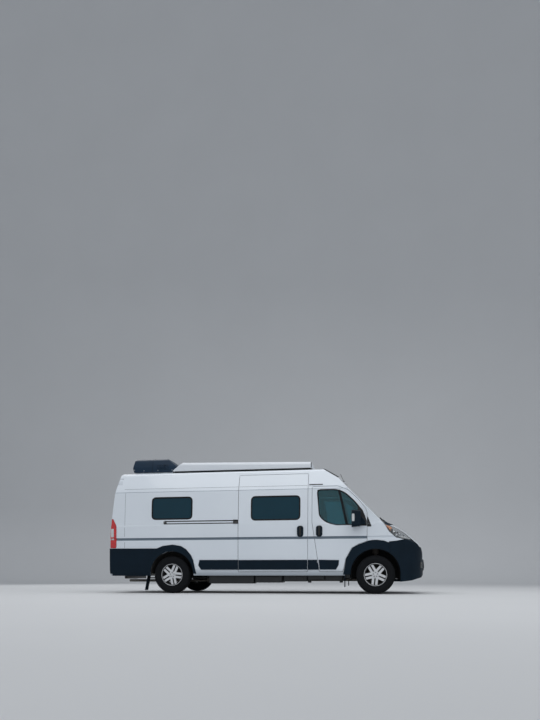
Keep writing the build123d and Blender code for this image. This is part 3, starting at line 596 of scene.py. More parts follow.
def pipe(points, up=(0, 1, 0)):
    """Open line through points in mm, its section standing along one way"""
    return [(Vector(p) * mm, Vector(up)) for p in points], False


def mirrored(mesh):
    """The mesh on the other side of the van, its faces still pointing out"""
    bm = bmesh.new()
    bm.from_mesh(mesh)
    bm.transform(Matrix.Diagonal((1, -1, 1, 1)))
    bmesh.ops.reverse_faces(bm, faces=bm.faces)
    done = node_mesh(bm)
    for entry in mesh.materials:
        done.materials.append(entry)
    return done


# %% [markdown]
# ## Painted panels
# Pressed steel panels have no sharp edge: the sheet is folded over a radius of a few millimetres, and
# that soft edge catches the light beside each gap. So each CAD panel is copied, its edges are rounded
# and its faces shaded as one surface; a panel modelled afresh would lose its real gaps. The pressed
# grooves take a flat blue-grey of painted shade with some dust in it, underseal is sprayed into the wheel
# wells, and felt lines what looks into the van: each of these takes faces by their place.

# %% Choose faces by their place


def facing_in(centre, normal):
    """Faces that look into the cab or the living space"""
    away = Vector((0, -centre.y, 0)) if abs(centre.y) > 600 else Vector((-300, 0, 1400)) - centre
    return normal.dot(away.normalized()) > 0.55


def in_groove(centre, normal):
    """Faces of the belt groove and of the step under the roof, which take painted shade"""
    return abs(centre.y) > 930 and normal.y * centre.y > 0 and (1062 < centre.z < 1111 or 2040 < centre.z < 2048)


def in_well(centre, normal):
    """Faces inside the wheel wells"""
    near = min(hypot(centre.x - x, centre.z - arch_height) for x in (2221, -1813))
    return near < 600 and centre.z < 960 and abs(centre.y) < 990 and normal.y * centre.y < 0.8 * abs(centre.y)


def in_rail(centre, normal):
    """Faces of the slide rail's recess, but not of the bar in it"""
    inside = -1965 < centre.x < -435 and 1380 < centre.z < 1456 and centre.y < -960
    return inside and (abs(normal.z) > 0.5 or abs(normal.x) > 0.5 or centre.y > -984)


def in_sill(centre, normal):
    """Faces under the sills and the rear corners"""
    return normal.z < -0.6 and centre.z < 620


def dressed(node, skin, edge_mm, others=(), segments=2, clamp=False):
    """Copy a CAD node with rounded edges; each other finish takes the faces that its test picks"""
    bm = cad_bmesh(node)
    for face in bm.faces:
        centre = face.calc_center_median() / mm
        for index, (entry, test) in enumerate(others, 1):
            if test(centre, face.normal):
                face.material_index = index
    mesh = node_mesh(bm)
    for entry in [skin] + [entry for entry, test in others]:
        mesh.materials.append(entry)
    soft_edged = rounded(mesh, edge_mm, segments, clamp=clamp)
    piece(node + "_skin", soft_edged, None, nodes[node]["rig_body"], [node])


panel_finishes = [
    (groove_shade, in_groove), (underseal, in_well), (underseal, in_sill), (lining_felt, facing_in),
]
for node in ("side_left", "roof", "sliding_door", "cab_door_right", "cab_door_left", "rear_door_right",
             "rear_door_left"):
    dressed(node, paint, 3.0, panel_finishes)
dressed("side_right", paint, 3.0, panel_finishes + [(smooth_black, in_rail)])
for node in ("front_wings", "bonnet"):
    dressed(node, paint, 2.0, [(underseal, in_well), (underseal, facing_in)])
dressed("poptop_lid", gelcoat, 9.0, [(lining_felt, lambda c, n: n.z < -0.5)], 3)

# %% Dress the mouldings, glass, underside and inside
for node in ("cowl", "rear_bumper", "side_cladding"):
    dressed(node, cladding_plastic, 2.5)
dressed("front_bumper", cladding_plastic, 3.0, clamp=True)
dressed("air_conditioner", cooler_plastic, 16.0, (), 3)
dressed("glazing", tinted_glass, 0, [(clear_glass, lambda c, n: c.x > 1200)])
for side in turns:
    dressed("cab_glass_" + side, door_glass, 0)
    dressed("rear_glass_" + side, tinted_glass, 0)
for node in ("floor", "front_subframe", "rear_axle"):
    dressed(node, underseal, 3)
dressed("underbody", tank_plastic, 6, [
    (exhaust_steel, lambda c, n: abs(c.y + 120) < 95 and c.z < 360),
    (smooth_black, lambda c, n: c.x < -2925 and c.z > 280)])
dressed("engine", engine_alloy, 14)
dressed("dashboard", dash_plastic, 4)
dressed("furniture", oak_laminate, 2, [(worktop, lambda c, n: n.z > 0.9 and 1400 < c.z < 1430)])
for label in ("left", "right"):
    dressed("knuckle_" + label, cast_iron, 3)
    dressed("mirror_" + label, cladding_plastic, 7, (), 3)

# %% [markdown]
# ## Beads, seams and trims
# Windows of a camper are clamped in a rubber bead that stands a few millimetres proud. It hides the
# cut edge of the panel and draws a soft dark line round the glass. Seams are filled with grey sealer.
# Both could be painted on, but a real section gives the line a rounded edge that catches the light.

# %% Window beads and seams
flank = {
    "right": surface_of(
        "side_right", "sliding_door", "cab_door_right", "glazing", "cab_glass_right", "front_wings", "roof"),
    "left": surface_of("side_left", "cab_door_left", "glazing", "cab_glass_left", "front_wings", "roof"),
}
back = surface_of(
    "rear_door_left", "rear_door_right", "rear_glass_left", "rear_glass_right", "side_left", "side_right", "roof")
rear_window, slide_window = rectangle((-2230, 1490), (-1404, 1924)), rectangle((-187, 1448), (767, 1907))
cab_window = [
    (1109, 2018), (1480, 2018), (1638, 1956), (1826, 1782), (1971, 1593), (2016, 1480), (2016, 1326),
    (1480, 1326), (1345, 1359), (1229, 1429), (1154, 1512),
]
beads = [traced(flank[side], side, corners, 84, 40, True, 1.5)
         for side in flank for corners in (rear_window, slide_window)]
piece("window_beads", swept(beads, seal_rubber, 9, 30, 4))
for side, turn in turns.items():
    bead = traced(flank[side], side, cab_window, 75, 30, True, 1.0)
    piece("cab_window_bead_" + side, swept([bead], seal_rubber, 7, 26, 3), body="cab_door_" + side)
    pane = rectangle((turn * 154, 1424), (turn * 766, 1936))
    bead = traced(back, "rear", pane, 80, 40, True, 1.0)
    piece("rear_window_bead_" + side, swept([bead], seal_rubber, 7, 26, 3), body="rear_door_" + side)
# Each line: its name, its ends on the side view, step, lift, finish, thickness, width and rounding
for name, ends, step, lift, skin, thick_mm, wide_mm, round_mm in (
    ("side_seams", [((-2808, 908), (-2808, 2036)), ((-2840, 2114), (-462, 2114)), ((-438, 2114), (911, 2114))],
     60, 0, seam_sealer, 1.6, 6, 0.6),
    # A flat blue-grey strip of painted shade under the step below the roof
    ("roof_step_shade", [((-2840, 2046), (923, 2046))], 60, 0.2, groove_shade, 1.4, 12, 0.5),
    ("drip_bars", [((948, 2127), (1212, 2127))], 30, 4, smooth_black, 12, 18, 5),
    ("rear_skirt_edges", [((-3136, 380), (-2262, 380))], 60, 1, cladding_plastic, 9, 62, 3),
):
    drawn = [traced(flank[side], side, pair, 0, step, False, lift) for side in flank for pair in ends]
    piece(name, swept(drawn, skin, thick_mm, wide_mm, round_mm))

# %% Sail panels, window bars, rail ends and handles
sail = [(1888, 1312), (2058, 1306), (2058, 1400), (2026, 1500), (1980, 1610), (1888, 1716)]
corner_cover = [(2067, 1290), (2140, 1290), (2146, 1304), (2078, 1480), (2067, 1480)]
bar = [(1506, 2012), (1551, 2012), (1705, 1328), (1658, 1328)]
pillar_strip = [(931, 470), (931, 660), (1116, 660), (1140, 470)]
for side in flank:
    door = "cab_door_" + side
    piece("sail_panel_" + side, plate(flank[side], side, sail, 14, 5), smooth_black, body=door)
    piece("window_bar_" + side, plate(flank[side], side, bar, 0, 3), seal_rubber, body=door)
    piece("pillar_cover_" + side, plate(flank[side], side, corner_cover, 8, 4), smooth_black)
for side in flank:
    piece("pillar_strip_" + side, plate(flank[side], side, pillar_strip, 6, 12, 45, 3), cladding_plastic)
rail_end = plate(flank["right"], "right", rectangle((-1986, 1383), (-1926, 1453)), 32, 12, 30, 5)
bracket = plate(flank["right"], "right", rectangle((-556, 1378), (-456, 1458)), 12, 14, 30, 4)
piece("slide_rail_ends", joined([rail_end, bracket]), smooth_black)


def handle(x, side):
    """Grip and lock of an upright door handle"""
    away = turns[side]
    grip = block((x - 24, away * 1030, 1134), (x + 24, away * 1050, 1306), 11, 3)
    lock = spun([(0, 0), (11, 0), (12.5, -2 * away), (12.5, -12 * away)], 20, (x, away * 1040, 1122), "Y")
    return joined([grip, lock])


piece("slide_door_grip", handle(780, "right"), smooth_black)
for side in flank:
    piece("cab_door_grip_" + side, handle(1149, side), smooth_black, body="cab_door_" + side)

# %% [markdown]
# ## Lamps
# A headlamp is a clear cover over a silvered housing with bright, dark-rimmed bowls; its rear third is amber.
# A tail lamp is one red lens with a clear window for the reversing lamp. The covers stay thick and
# glossy, so the light bends and breaks up inside, which is what makes a lamp look deep. Bowls are
# profiles spun as on a lathe and set behind the cover by a ray, so they follow its curved face.

# %% Headlamps
lamp_face = surface_of("headlamps")
amber = [(2399, 1332), (2500, 1304), (2536, 1262), (2502, 1208), (2452, 1254), (2412, 1306)]
strip = [(2600, 1150), (2740, 1098), (2860, 1066), (2860, 1056), (2740, 1076), (2600, 1112)]


def deep(centre, normal):
    """Faces of a lamp body that look back into the wing or the bonnet"""
    return normal.y * copysign(1, centre.y) * 0.8 + normal.x * 0.45 + normal.z * 0.35 < 0.25


def behind_cover(side, a, b, mesh):
    """A round mesh set behind a lamp cover, facing out and forward"""
    spot, normal = met(lamp_face, side, a, b)
    return aimed(mesh, spot - normal * 14 * mm, (normal * 0.6 + Vector((0.55, 0, 0))).normalized())


def bowl(radius, depth):
    """Bright bowl with its bulb, sizes in mm"""
    shape = spun([
        (0, -depth), (radius * 0.55, -depth * 0.8), (radius * 0.9, -depth * 0.3), (radius, 0), (radius + 2, 0)], 32)
    bulb = spun([(0, -depth * 0.25), (radius * 0.16, -depth * 0.35), (radius * 0.18, -depth)], 16)
    return joined([shape, bulb])


def bezel(radius):
    """Dark ring round a bowl"""
    return spun([(radius, -6), (radius + 2, 3), (radius + 7, 3), (radius + 10, -3), (radius + 10, -8)], 32)


dressed("headlamps", lamp_cover, 2.0, [(lamp_housing, deep)])
bowls, bezels = [], []
for side in flank:
    for a, b, radius, depth in ((2560, 1216, 44, 34), (2668, 1160, 42, 34), (2772, 1106, 30, 24)):
        bowls.append(behind_cover(side, a, b, bowl(radius, depth)))
        bezels.append(behind_cover(side, a, b, bezel(radius)))
    piece("turn_lens_" + side, plate(lamp_face, side, amber, 12, 1.2, 40), amber_lens)
    piece("lamp_brow_" + side, plate(lamp_face, side, strip, 6, 1.0, 40), white_lens)
piece("headlamp_bowls", joined(bowls), reflector)
piece("headlamp_bezels", joined(bezels), smooth_black)
dressed("tail_lamps", red_lens, 3.0)
tail_face = surface_of("tail_lamps")
for side, turn in turns.items():
    clear = rectangle((turn * 900, 1075), (turn * 972, 1300))
    low = rectangle((turn * 900, 930), (turn * 985, 1050))
    piece("reversing_lens_" + side, plate(tail_face, "rear", clear, 14, 1.6, 40), white_lens)
    piece("rear_turn_lens_" + side, plate(tail_face, "rear", low, 14, 1.4, 40), dark_red_lens)
    flash = rectangle((-3098, 1078), (-3042, 1306))
    piece("side_lens_" + side, plate(tail_face, side, flash, 12, 1.6, 30), white_lens)

# %% [markdown]
# ## Mirrors
# A van mirror holds a large flat pane over a small wide-angle one, and a repeater on its outer edge.
# The head is the CAD solid; panes and repeater are thin plates dropped onto it, so they fit its faces.

# %% Mirrors: two panes and a repeater
for side, turn in turns.items():
    door = "cab_door_" + side
    head = surface_of("mirror_" + side)
    main = rectangle((turn * 1094, 1352), (turn * 1228, 1580))
    wide = rectangle((turn * 1094, 1290), (turn * 1228, 1338))
    panes = [plate(head, "rear", corners, radius, 1.5, 60) for corners, radius in ((main, 26), (wide, 16))]
    piece("mirror_panes_" + side, joined(panes), mirror_glass, body=door)
    repeater = rectangle((1784, 1378), (1832, 1520))
    piece("mirror_repeater_" + side, plate(head, side, repeater, 14, 3, 30, 2), white_lens, body=door)

# %% [markdown]
# ## Wheels
# The rims are cast and lacquered silver on the face, with brake dust in the barrel. The windows between
# the spokes read black; shade alone would not make them so dark, because soft light reaches in, so the
# inner faces take a dark finish by depth and angle: painted shade over the brake dust. The bolts are one
# nut set down five times on a circle.

# %% Rims, hubs and bolts
wheels = {
    "front_left": (front_axle, 905, 1), "front_right": (front_axle, -905, -1),
    "rear_left": (rear_axle, 900, 1), "rear_right": (rear_axle, -900, -1),
}
nut = spun([(0, 7), (5, 7), (7, 5), (7, 0)], 6)
nut_well = spun([(0, 1.6), (11.5, 1.6), (12, 0)], 20)
for label, (x, y, side) in wheels.items():
    body = "wheel_" + label

    def rim_shade_faces(centre, normal):
        """Faces of the barrel, the windows and the back of a rim, which take painted shade over brake dust"""
        depth = (centre.y - y) * side
        radius = hypot(centre.x - x, centre.z - hub_height)
        return normal.y * side < 0.88 or depth < 30 or (195 < radius < 209 and depth < 80)

    dressed("rim_" + label, wheel_silver, 3.0, [(rim_dust_and_shade, rim_shade_faces)])
    cap = spun([(0, 90 * side), (16, 89 * side), (21, 87 * side), (22.5, 82 * side)], 32, (x, y, hub_height), "Y")
    spots, bolt_circle, bolt_depth = [], 41, 83
    for angle in range(18, 378, 72):
        way = Vector((cos(radians(angle)), 0, sin(radians(angle))))
        spots.append((at(x, y + bolt_depth * side, hub_height) + way * bolt_circle * mm, Vector((0, side, 0)), way))
    # Dark discs under the nuts: painted shade in the recess round each nut
    piece("nut_wells_" + label, scattered(nut_well, spots, rim_dust_and_shade), body=body)
    nuts = scattered(nut, spots, wheel_silver)
    piece("hub_cap_" + label, joined([cap, nuts]), wheel_silver, body=body)
print("rims:", list(wheels))

# %% [markdown]
# ## Tyres
# A tyre is a moulded carcass with a bead, a rim guard and a bulging wall, under a tread of separate
# blocks. Displacing a smooth tyre would need a far finer mesh, so the carcass is a spun profile, and one
# rubber block is set down in five staggered rows, with lugs that wrap over the shoulders.

# %% Tyres
wall_line = [
    (207, 78), (211, 91), (221, 97), (231, 101), (236, 105), (243, 104), (262, 108.5), (290, 111), (316, 109),
    (336, 104), (349, 98), (356, 92), (360, 82), (362.5, 50), (363.5, 0),
]
carcass_line = wall_line + [(r, -w) for r, w in reversed(wall_line[:-1])]
tread_block = block((-14, -15, -5), (14, 15, 5), 1.6, 1)
lug = block((-11, -13, -3.5), (11, 13, 3.5), 2.0, 1)
blocks_round = 58
# Each row of blocks: its place across the tyre, the radius of its top, its lean in degrees and its slant
tread_rows = ((-76, 367.6, -14, 0.25), (-38, 371.2, -3, -0.2), (0, 371.9, 0, 0.16), (38, 371.2, 3, -0.2),
              (76, 367.6, 14, 0.25))
for label, (x, y, side) in wheels.items():
    middle = Vector((x, y, hub_height))
    carcass = spun(carcass_line, 96, middle, "Y", True)
    blocks, lugs = [], []
    for row, (w, top, lean, slant) in enumerate(tread_rows):
        for k in range(blocks_round):
            a = 2 * pi * (k + 0.5 * (row % 2)) / blocks_round
            ray, way = Vector((cos(a), 0, sin(a))), Vector((-sin(a), 0, cos(a)))
            out = (ray + Vector((0, tan(radians(lean)), 0))).normalized()
            way = (way + Vector((0, slant, 0))).normalized()
            blocks.append(((middle + ray * (top - 5.3) + Vector((0, w, 0))) * mm, out, way))
            if row in (0, 4):
                edge = (ray * 0.42 + Vector((0, w / 76, 0))).normalized()
                lugs.append(((middle + ray * 350.5 + Vector((0, w / 76 * 98, 0))) * mm, edge, way))
    tread = joined([scattered(tread_block, blocks, tyre_rubber), scattered(lug, lugs, tyre_rubber)])
    tyre, body = "tyre_" + label, "wheel_" + label
    piece(tyre + "_skin", carcass, tyre_rubber, body, [tyre])
    piece("tread_" + label, tread, tyre_rubber, body)
print("tread blocks on one wheel:", len(blocks), "and lugs:", len(lugs))

# %% [markdown]
# ## Front arch liners
# A felted plastic shell keeps water off the sheet metal round each front wheel. It is one bent line
# drawn across the arch, with a pot above the hub, because a plain half round leaves the strut no room.

# %% Front arch liners


def thick(bm, thick_mm, edge_mm=0.8):
    """Sheet turned into a thin solid"""
    bmesh.ops.recalc_face_normals(bm, faces=bm.faces)
    bmesh.ops.solidify(bm, geom=bm.faces[:], thickness=thick_mm * mm)
    bmesh.ops.recalc_face_normals(bm, faces=bm.faces)
    return rounded(node_mesh(bm), edge_mm, 1)


def arch_liner(turn):
    """Moulded liner of a front arch: a half round with a pot for the spring strut, and its inner wall"""
    line, radius, pot_half = [], 464, 190
    for k in range(33):
        a = radians(-14 + k * 6.5)
        x, z = radius * cos(a), arch_height + radius * sin(a)
        if abs(x) < pot_half:
            continue
        line.append((front_axle + x, z))
        if len(line) > 1 and line[-2][0] - line[-1][0] > 300:
            line[-1:-1] = [(line[-2][0] - 4, 955), (line[-1][0] + 4, 955)]
    bm = bmesh.new()
    rows = [[bm.verts.new(at(x, turn * y, z)) for x, z in line] for y in (594, 760, 930)]
    for low, high in zip(rows, rows[1:]):
        for i in range(len(line) - 1):
            bm.faces.new((low[i], low[i + 1], high[i + 1], high[i]))
    foot = [bm.verts.new(at(x, turn * 588, min(z, 300 if abs(x - front_axle) > 290 else 440))) for x, z in line]
    for i in range(len(line) - 1):
        if line[i][1] > 300 or line[i + 1][1] > 300:
            bm.faces.new((rows[0][i], rows[0][i + 1], foot[i + 1], foot[i]))
    bmesh.ops.remove_doubles(bm, verts=bm.verts, dist=0.5 * mm)
    return thick(bm, 3)


piece("front_arch_liners", joined([arch_liner(-1), arch_liner(1)]), wheel_liner)
print("liners done")

# %% [markdown]
# ## Roof
# The lid closes on a black bulb seal, and raised ribs stiffen its top. Black rubber strips on its front
# corners are painted shade for the lid's front edge, which lies in shadow. Blocks would leave wedges of air
# on the crowned roof, so each trim is a line seen from above, dropped onto the surface and given its own section.

# %% Lid seal, ribs and edges
roof_face, lid_face = surface_of("roof", "side_left", "side_right"), surface_of("poptop_lid")
rows = [traced(roof_face, "top", [(-1850, y), (948, y)], 0, 60, False, 15) for y in (-703, 703)]
ends = [traced(roof_face, "top", [(x, -690), (x, 690)], 0, 60, False, 4) for x in (-1862, 952)]
seal = joined([swept(rows, seal_rubber, 36, 13, 4), swept(ends, seal_rubber, 10, 14, 4)])
piece("lid_seal", seal)
ribs = [traced(lid_face, "top", [(-1520, y), (860, y)], 0, 120, False, 3.0) for y in (-450, -150, 150, 450)]
piece("lid_ribs", swept(ribs, gelcoat, 14, 36, 6), body="lid")
# Black strips down the lid's front corners: painted shade for its front edge
corners = [pipe([(966, turn * 716 * 1.006, z) for z in (2500, 2550, 2600)], (0, turn, 0)) for turn in (-1, 1)]
piece("lid_corner_guards", swept(corners, seal_rubber, 3, 14, 1.4), body="lid")
ditch = [traced(roof_face, "top", [(1205, y), (1350, y * 0.985), (1500, y * 0.94)], 0, 40, False, 6)
         for y in (-706, 706)]
piece("roof_ditch_strips", swept(ditch, smooth_black, 16, 24, 5))
brow = [traced(roof_face, "top", [(1240, -560), (1262, 0), (1240, 560)], 200, 40, False, 0.5)]
piece("roof_cap_joint", swept(brow, seam_sealer, 3, 9, 1))
aerial_foot, aerial_normal = met(roof_face, "top", 1600, -640)
aerial = [(spot, ahead) for spot in (
    aerial_foot - aerial_normal * 4 * mm, aerial_foot + at(-14, 6, 40), aerial_foot + at(-62, 20, 150))]
base = spun([(0, 16), (10, 15), (17, 6), (20, -6)], 24, aerial_foot / mm)
piece("aerial", joined([swept([(aerial, False)], smooth_black, 9, 9, 4), base]), smooth_black)

# %% [markdown]
# ## Air conditioner
# The cooler is a plastic shroud over a fan. It breathes through rows of louvres, and a line shows where
# its two halves meet. Cut slots would cost many triangles for gaps of a few millimetres, so small bars
# are set on its sides instead, which give the same stripes of light and shade.

# %% Air conditioner: louvres, split line and screws
cooler_face = surface_of("air_conditioner")
louvre = block((-34, -3, -2.5), (34, 3, 2.5), 1.5, 1)
slots, screws = [], []
for side in flank:
    slots += [(*met(cooler_face, side, -2130 - column * 84 - row * 3, 2600 + row * 17, 0.6), ahead)
              for row in range(7) for column in range(3)]
    screws += [(*met(cooler_face, side, x, z, 0.5), ahead)
               for x, z in ((-2850, 2600), (-2640, 2585), (-2330, 2585), (-2020, 2585))]
slots += [(*met(cooler_face, "rear", y, 2630 + row * 20, 0.5), across)
          for row in range(8) for y in (-190, -65, 65, 190)]
piece("cooler_louvres", scattered(louvre, slots, cooler_plastic, 1.6))
screw = spun([(0, 1.2), (2.5, 1.2), (3, 3.2), (6, 3.0), (8, 0)], 16)
piece("cooler_screws", scattered(screw, screws, stainless, 1.2))
split = [traced(cooler_face, side, [(-2448, 2556), (-2448, 2806)], 0, 40, False, 0.4) for side in flank]
split.append(traced(cooler_face, "top", [(-2448, -330), (-2448, 330)], 0, 40, False, 0.4))
piece("cooler_split_line", swept(split, seal_rubber, 2.4, 7, 1))
bump = spun([(0, 14), (40, 12), (62, 4), (70, -6)], 36, met(cooler_face, "top", -2500, 0)[0] / mm)
bump.transform(Matrix.Translation((0, 0, -14 * mm)))
piece("cooler_sensor_cap", bump, cooler_plastic)
print("air conditioner:", len(slots), "louvres,", len(screws), "screws")

# %% [markdown]
# ## Front and rear
# Both ends are hidden in the photograph, so they follow what vans of this class have: wipers parked above
# the black cowl, slotted air inlets, plate lands that stay blank, strap hinges, a high brake lamp and
# a studded step. Each is placed by a ray onto the face behind it, so it would follow a change of the body.

# %% Windscreen band, wipers and cowl slots
screen_face = surface_of("glazing")
cowl_face = surface_of("cowl", "bonnet")


def on_screen(y, up, lift_mm):
    """Point and normal on the outside of the windscreen: mm across and mm up its slope"""
    return met(screen_face, "front", y, 1369 + 0.71 * up, lift_mm)


band_line = [(-868, 78), (868, 78), (768, 1172), (-768, 1172)]
band = [on_screen(p.x, p.y, 1.0) for p in stepped(band_line, 90, 45, True)]
band = ([hit for hit in band if hit], True)
piece("windscreen_band", swept([band], smooth_black, 4, 58, 1.8))


def wiper(foot, tip_low, tip_high):
    """Wiper arm from its pivot, with a blade that lies on the glass"""
    low, high = on_screen(*tip_low, 12), on_screen(*tip_high, 12)
    middle = (low[0] + high[0]) / 2
    up = low[1]
    blade = [(low[0].lerp(high[0], t / 8) + up * 4 * mm * sin(pi * t / 8), up) for t in range(9)], False
    start = Vector(foot) * mm
    arm = [(start, up), (start.lerp(middle, 0.35) + up * 22 * mm, up), (middle + up * 16 * mm, up)], False
    pivot = spun([(0, 26), (14, 25), (18, 18), (19, -8)], 24, foot)
    return joined([swept([blade], smooth_black, 22, 9, 4), swept([arm], smooth_black, 11, 17, 5), pivot])


cowl_left, cowl_right = met(cowl_face, "top", 2478, 560)[0] / mm, met(cowl_face, "top", 2505, -60)[0] / mm
wipers = [wiper(cowl_left, (620, 120), (60, 215)), wiper(cowl_right, (-60, 70), (-680, 150))]
piece("wipers", joined(wipers), smooth_black)
slat = block((-16, -4, -2), (16, 4, 2), 1.4, 1)
slots = [(*met(cowl_face, "top", 2506 + row * 26 - abs(k) * 5.2, k * 42, 0.5), ahead)
         for k in range(-15, 16) if abs(k) != 4 for row in range(3)]
piece("cowl_slots", scattered(slat, slots, seal_rubber, 1.0))
print("cowl slots:", len(slots))

# %% Front: plate land, fog lamps, inlet bars and bonnet details
nose = surface_of("front_bumper", "front_wings", "bonnet")
piece("front_plate_land", plate(nose, "front", rectangle((-200, 500), (200, 628)), 12, 9, 60, 2), smooth_black)
piece("front_plate_blank", plate(nose, "front", rectangle((-160, 512), (160, 616)), 8, 11, 60, 1), plate_white)
fogs = []
for side, turn in turns.items():
    surround = rectangle((turn * 640, 500), (turn * 800, 620))
    piece("fog_bezel_" + side, plate(nose, "front", surround, 34, 7, 40, 3), smooth_black)
    spot, normal = met(nose, "front", turn * 716, 562)
    lens = spun([(0, 7), (22, 5), (34, 0), (40, 4), (46, 0), (47, -10)], 36)
    fogs.append(aimed(lens, spot + normal * 9 * mm, normal))
piece("fog_lamps", joined(fogs), lamp_cover)
rib = [traced(nose, "front", [(-880, 480), (-500, 472), (500, 472), (880, 480)], 120, 40, False, 0)]
piece("bumper_ribs", swept(rib, cladding_plastic, 7, 16, 3.4))
jets = [(*met(nose, "top", 2610, y, 1), ahead) for y in (-300, 300)]
jet = spun([(0, 9), (8, 8), (13, 2), (14, -4)], 16)
piece("washer_jets", scattered(jet, jets, smooth_black), body="bonnet")

# %% [markdown]
# ## Rear doors
# Doors that fold right round to the sides need hinge barrels outside the skin. The barrels stay with the
# body and the leaves go with the doors, so they are separate pieces, as they are on the real hinge.

# %% Rear: hinges, handle, lamps, step and blank plate
knuckles = []
hinge_pin = [(0, 50), (12, 49), (15, 44), (15, -44), (12, -49), (0, -50)]
for side, turn in turns.items():
    leaves = []
    for z in (720, 1310, 1934):
        leaf = [(turn * 800, z - 20), (turn * 880, z - 26), (turn * 880, z + 26), (turn * 800, z + 20)]
        leaves.append(plate(back, "rear", leaf, 6, 5, 60, 1.5))
        spot = met(back, "rear", turn * 868, z)[0] / mm
        knuckles.append(spun(hinge_pin, 20, (spot.x - 14, turn * 886, z)))
    piece("rear_hinge_leaves_" + side, joined(leaves), smooth_black, body="rear_door_" + side)
piece("rear_hinge_knuckles", joined(knuckles), smooth_black)
well = plate(back, "rear", rectangle((-196, 1136), (-28, 1216)), 22, 4, 50, 2)
spot = met(back, "rear", -110, 1176)[0] / mm
pull = block((spot.x - 34, -186, 1158), (spot.x - 14, -40, 1194), 9, 3)
posts = [block((spot.x - 30, y - 9, 1162), (spot.x + 2, y + 9, 1190), 5, 2) for y in (-172, -54)]
piece("rear_door_handle", joined([well, pull] + posts), smooth_black, body="rear_door_right")
land, blank = rectangle((250, 950), (640, 1120)), rectangle((290, 962), (600, 1100))
piece("rear_plate_land", plate(back, "rear", land, 14, 6, 60, 2), smooth_black, body="rear_door_left")
piece("rear_plate_blank", plate(back, "rear", blank, 8, 8, 60, 1), plate_white, body="rear_door_left")
piece("high_brake_lamp", plate(back, "rear", rectangle((-170, 2362), (170, 2394)), 8, 10, 50, 3), red_lens)
step_face = surface_of("rear_bumper")
grips = [met(step_face, "top", x, y, 0.6) for x in (-3161, -3147, -3133) for y in range(-840, 841, 28)]
grips = [(hit[0], Vector((0, 0, 1)), ahead) for hit in grips if hit]
stud = block((-5, -4, -1.5), (5, 4, 1.5), 1.2, 1)
piece("step_studs", scattered(stud, grips, seal_rubber))
low_back = surface_of("rear_bumper", "side_cladding")
reflectors = [plate(low_back, "rear", rectangle((turn * 760, 446), (turn * 850, 486)), 8, 3, 50, 1)
              for turn in (-1, 1)]
piece("rear_reflectors", joined(reflectors), red_lens)
flap = plate(flank["left"], "left", rectangle((860, 760), (1000, 900)), 26, 2.0, 50, 1)
piece("fuel_flap", flap, paint)

# %% [markdown]
# ## Soft things: seats and mattress
# Foam and cloth bulge between their seams and lie flat only where they rest. Each pad starts as a slim
# form drawn by a few stations, is remeshed evenly and blown up a little by a cloth simulation, and the
# seams are pressed in after that, because the remesh would wipe them out.

# %% Slim forms, blown up as cloth


def pad_form(stations, blunt=0.5):
    """Closed form across the van through stations: middle, outward way, half width, thickness, bolster, in mm"""
    bm, rows, around = bmesh.new(), [], 40
    for middle, out, half, thick, bolster in stations:
        row = []
        for k in range(around):
            a = 2 * pi * k / around
            u = copysign(abs(cos(a)) ** blunt, cos(a))
            v = copysign(abs(sin(a)) ** blunt, sin(a))
            side = min(1, max(0, (abs(u) - 0.55) / 0.25))
            lift = v * thick / 2 + (bolster * side * side * (3 - 2 * side) if v > 0.3 else 0)
            row.append(bm.verts.new((Vector(middle) + across * u * half + Vector(out) * lift) * mm))
        rows.append(row)
    for low, high in zip(rows, rows[1:]):
        for k in range(around):
            bm.faces.new((low[k], low[k - 1], high[k - 1], high[k]))
    bm.faces.new(rows[0])
    bm.faces.new(rows[-1][::-1])
    bmesh.ops.recalc_face_normals(bm, faces=bm.faces)
    return node_mesh(bm)


def puffed(forms, pressure=4.0, frames=20):
    """Cloth forms, each a mesh with its voxel, cap and resting height in mm, blown up all at once"""
    holders = []
    for mesh, voxel_mm, cap_mm, rest in forms:
        holder = linked("pad", mesh)
        even = holder.modifiers.new("even", "REMESH")
        even.mode, even.voxel_size = "VOXEL", voxel_mm * mm
        graph = bpy.context.evaluated_depsgraph_get()
        start = bpy.data.meshes.new_from_object(holder.evaluated_get(graph))
        holder.modifiers.clear()
        holder.data = start
        skin = holder.modifiers.new("cloth", "CLOTH")
        skin.settings.use_pressure, skin.settings.uniform_pressure_force = True, pressure
        skin.settings.effector_weights.gravity = 0
        skin.point_cache.frame_start, skin.point_cache.frame_end = 1, frames
        holders.append(holder)
    for frame_number in range(1, frames + 1):
        bpy.context.scene.frame_set(frame_number)
    starts = [holder.data for holder in holders]
    graph = bpy.context.evaluated_depsgraph_get()
    pads = [bpy.data.meshes.new_from_object(holder.evaluated_get(graph)) for holder in holders]
    for holder, pad, start, (mesh, voxel_mm, cap_mm, rest) in zip(holders, pads, starts, forms):
        for here, there in zip(pad.vertices, start.vertices):
            move = here.co - there.co
            here.co = there.co + move * min(1, cap_mm * mm / max(move.length, 1e-9))
            here.co.z = max(here.co.z, rest * mm)
        bpy.data.objects.remove(holder)
    bpy.context.scene.frame_set(1)
    return pads


def pressed(mesh, dip, levels=1):
    """The pad made finer, with each point pushed in by dip(point in mm) along its normal"""
    fine = rounded(mesh, 0, levels=levels)
    pushes = [dip(v.co / mm) for v in fine.vertices]
    ways = [v.normal.copy() for v in fine.vertices]
    for v, push, way in zip(fine.vertices, pushes, ways):
        v.co -= way * push * mm
    fine.shade_smooth()
    return fine


def furrow(distance, half_mm, deep_mm):
    """Depth of a sewn channel at some distance from its seam"""
    t = min(1, abs(distance) / half_mm)
    return deep_mm * (1 - t * t) ** 2


# %% [markdown]
# ## Cab seats
# A van seat is a bolstered cushion and back on a steel plinth, with sewn channels across. The two seats
# are alike, so one set of pads is blown up and the other is its mirror image. Channels are pressed in by
# a formula of the place on the pad, which keeps them straight where sculpting would not.

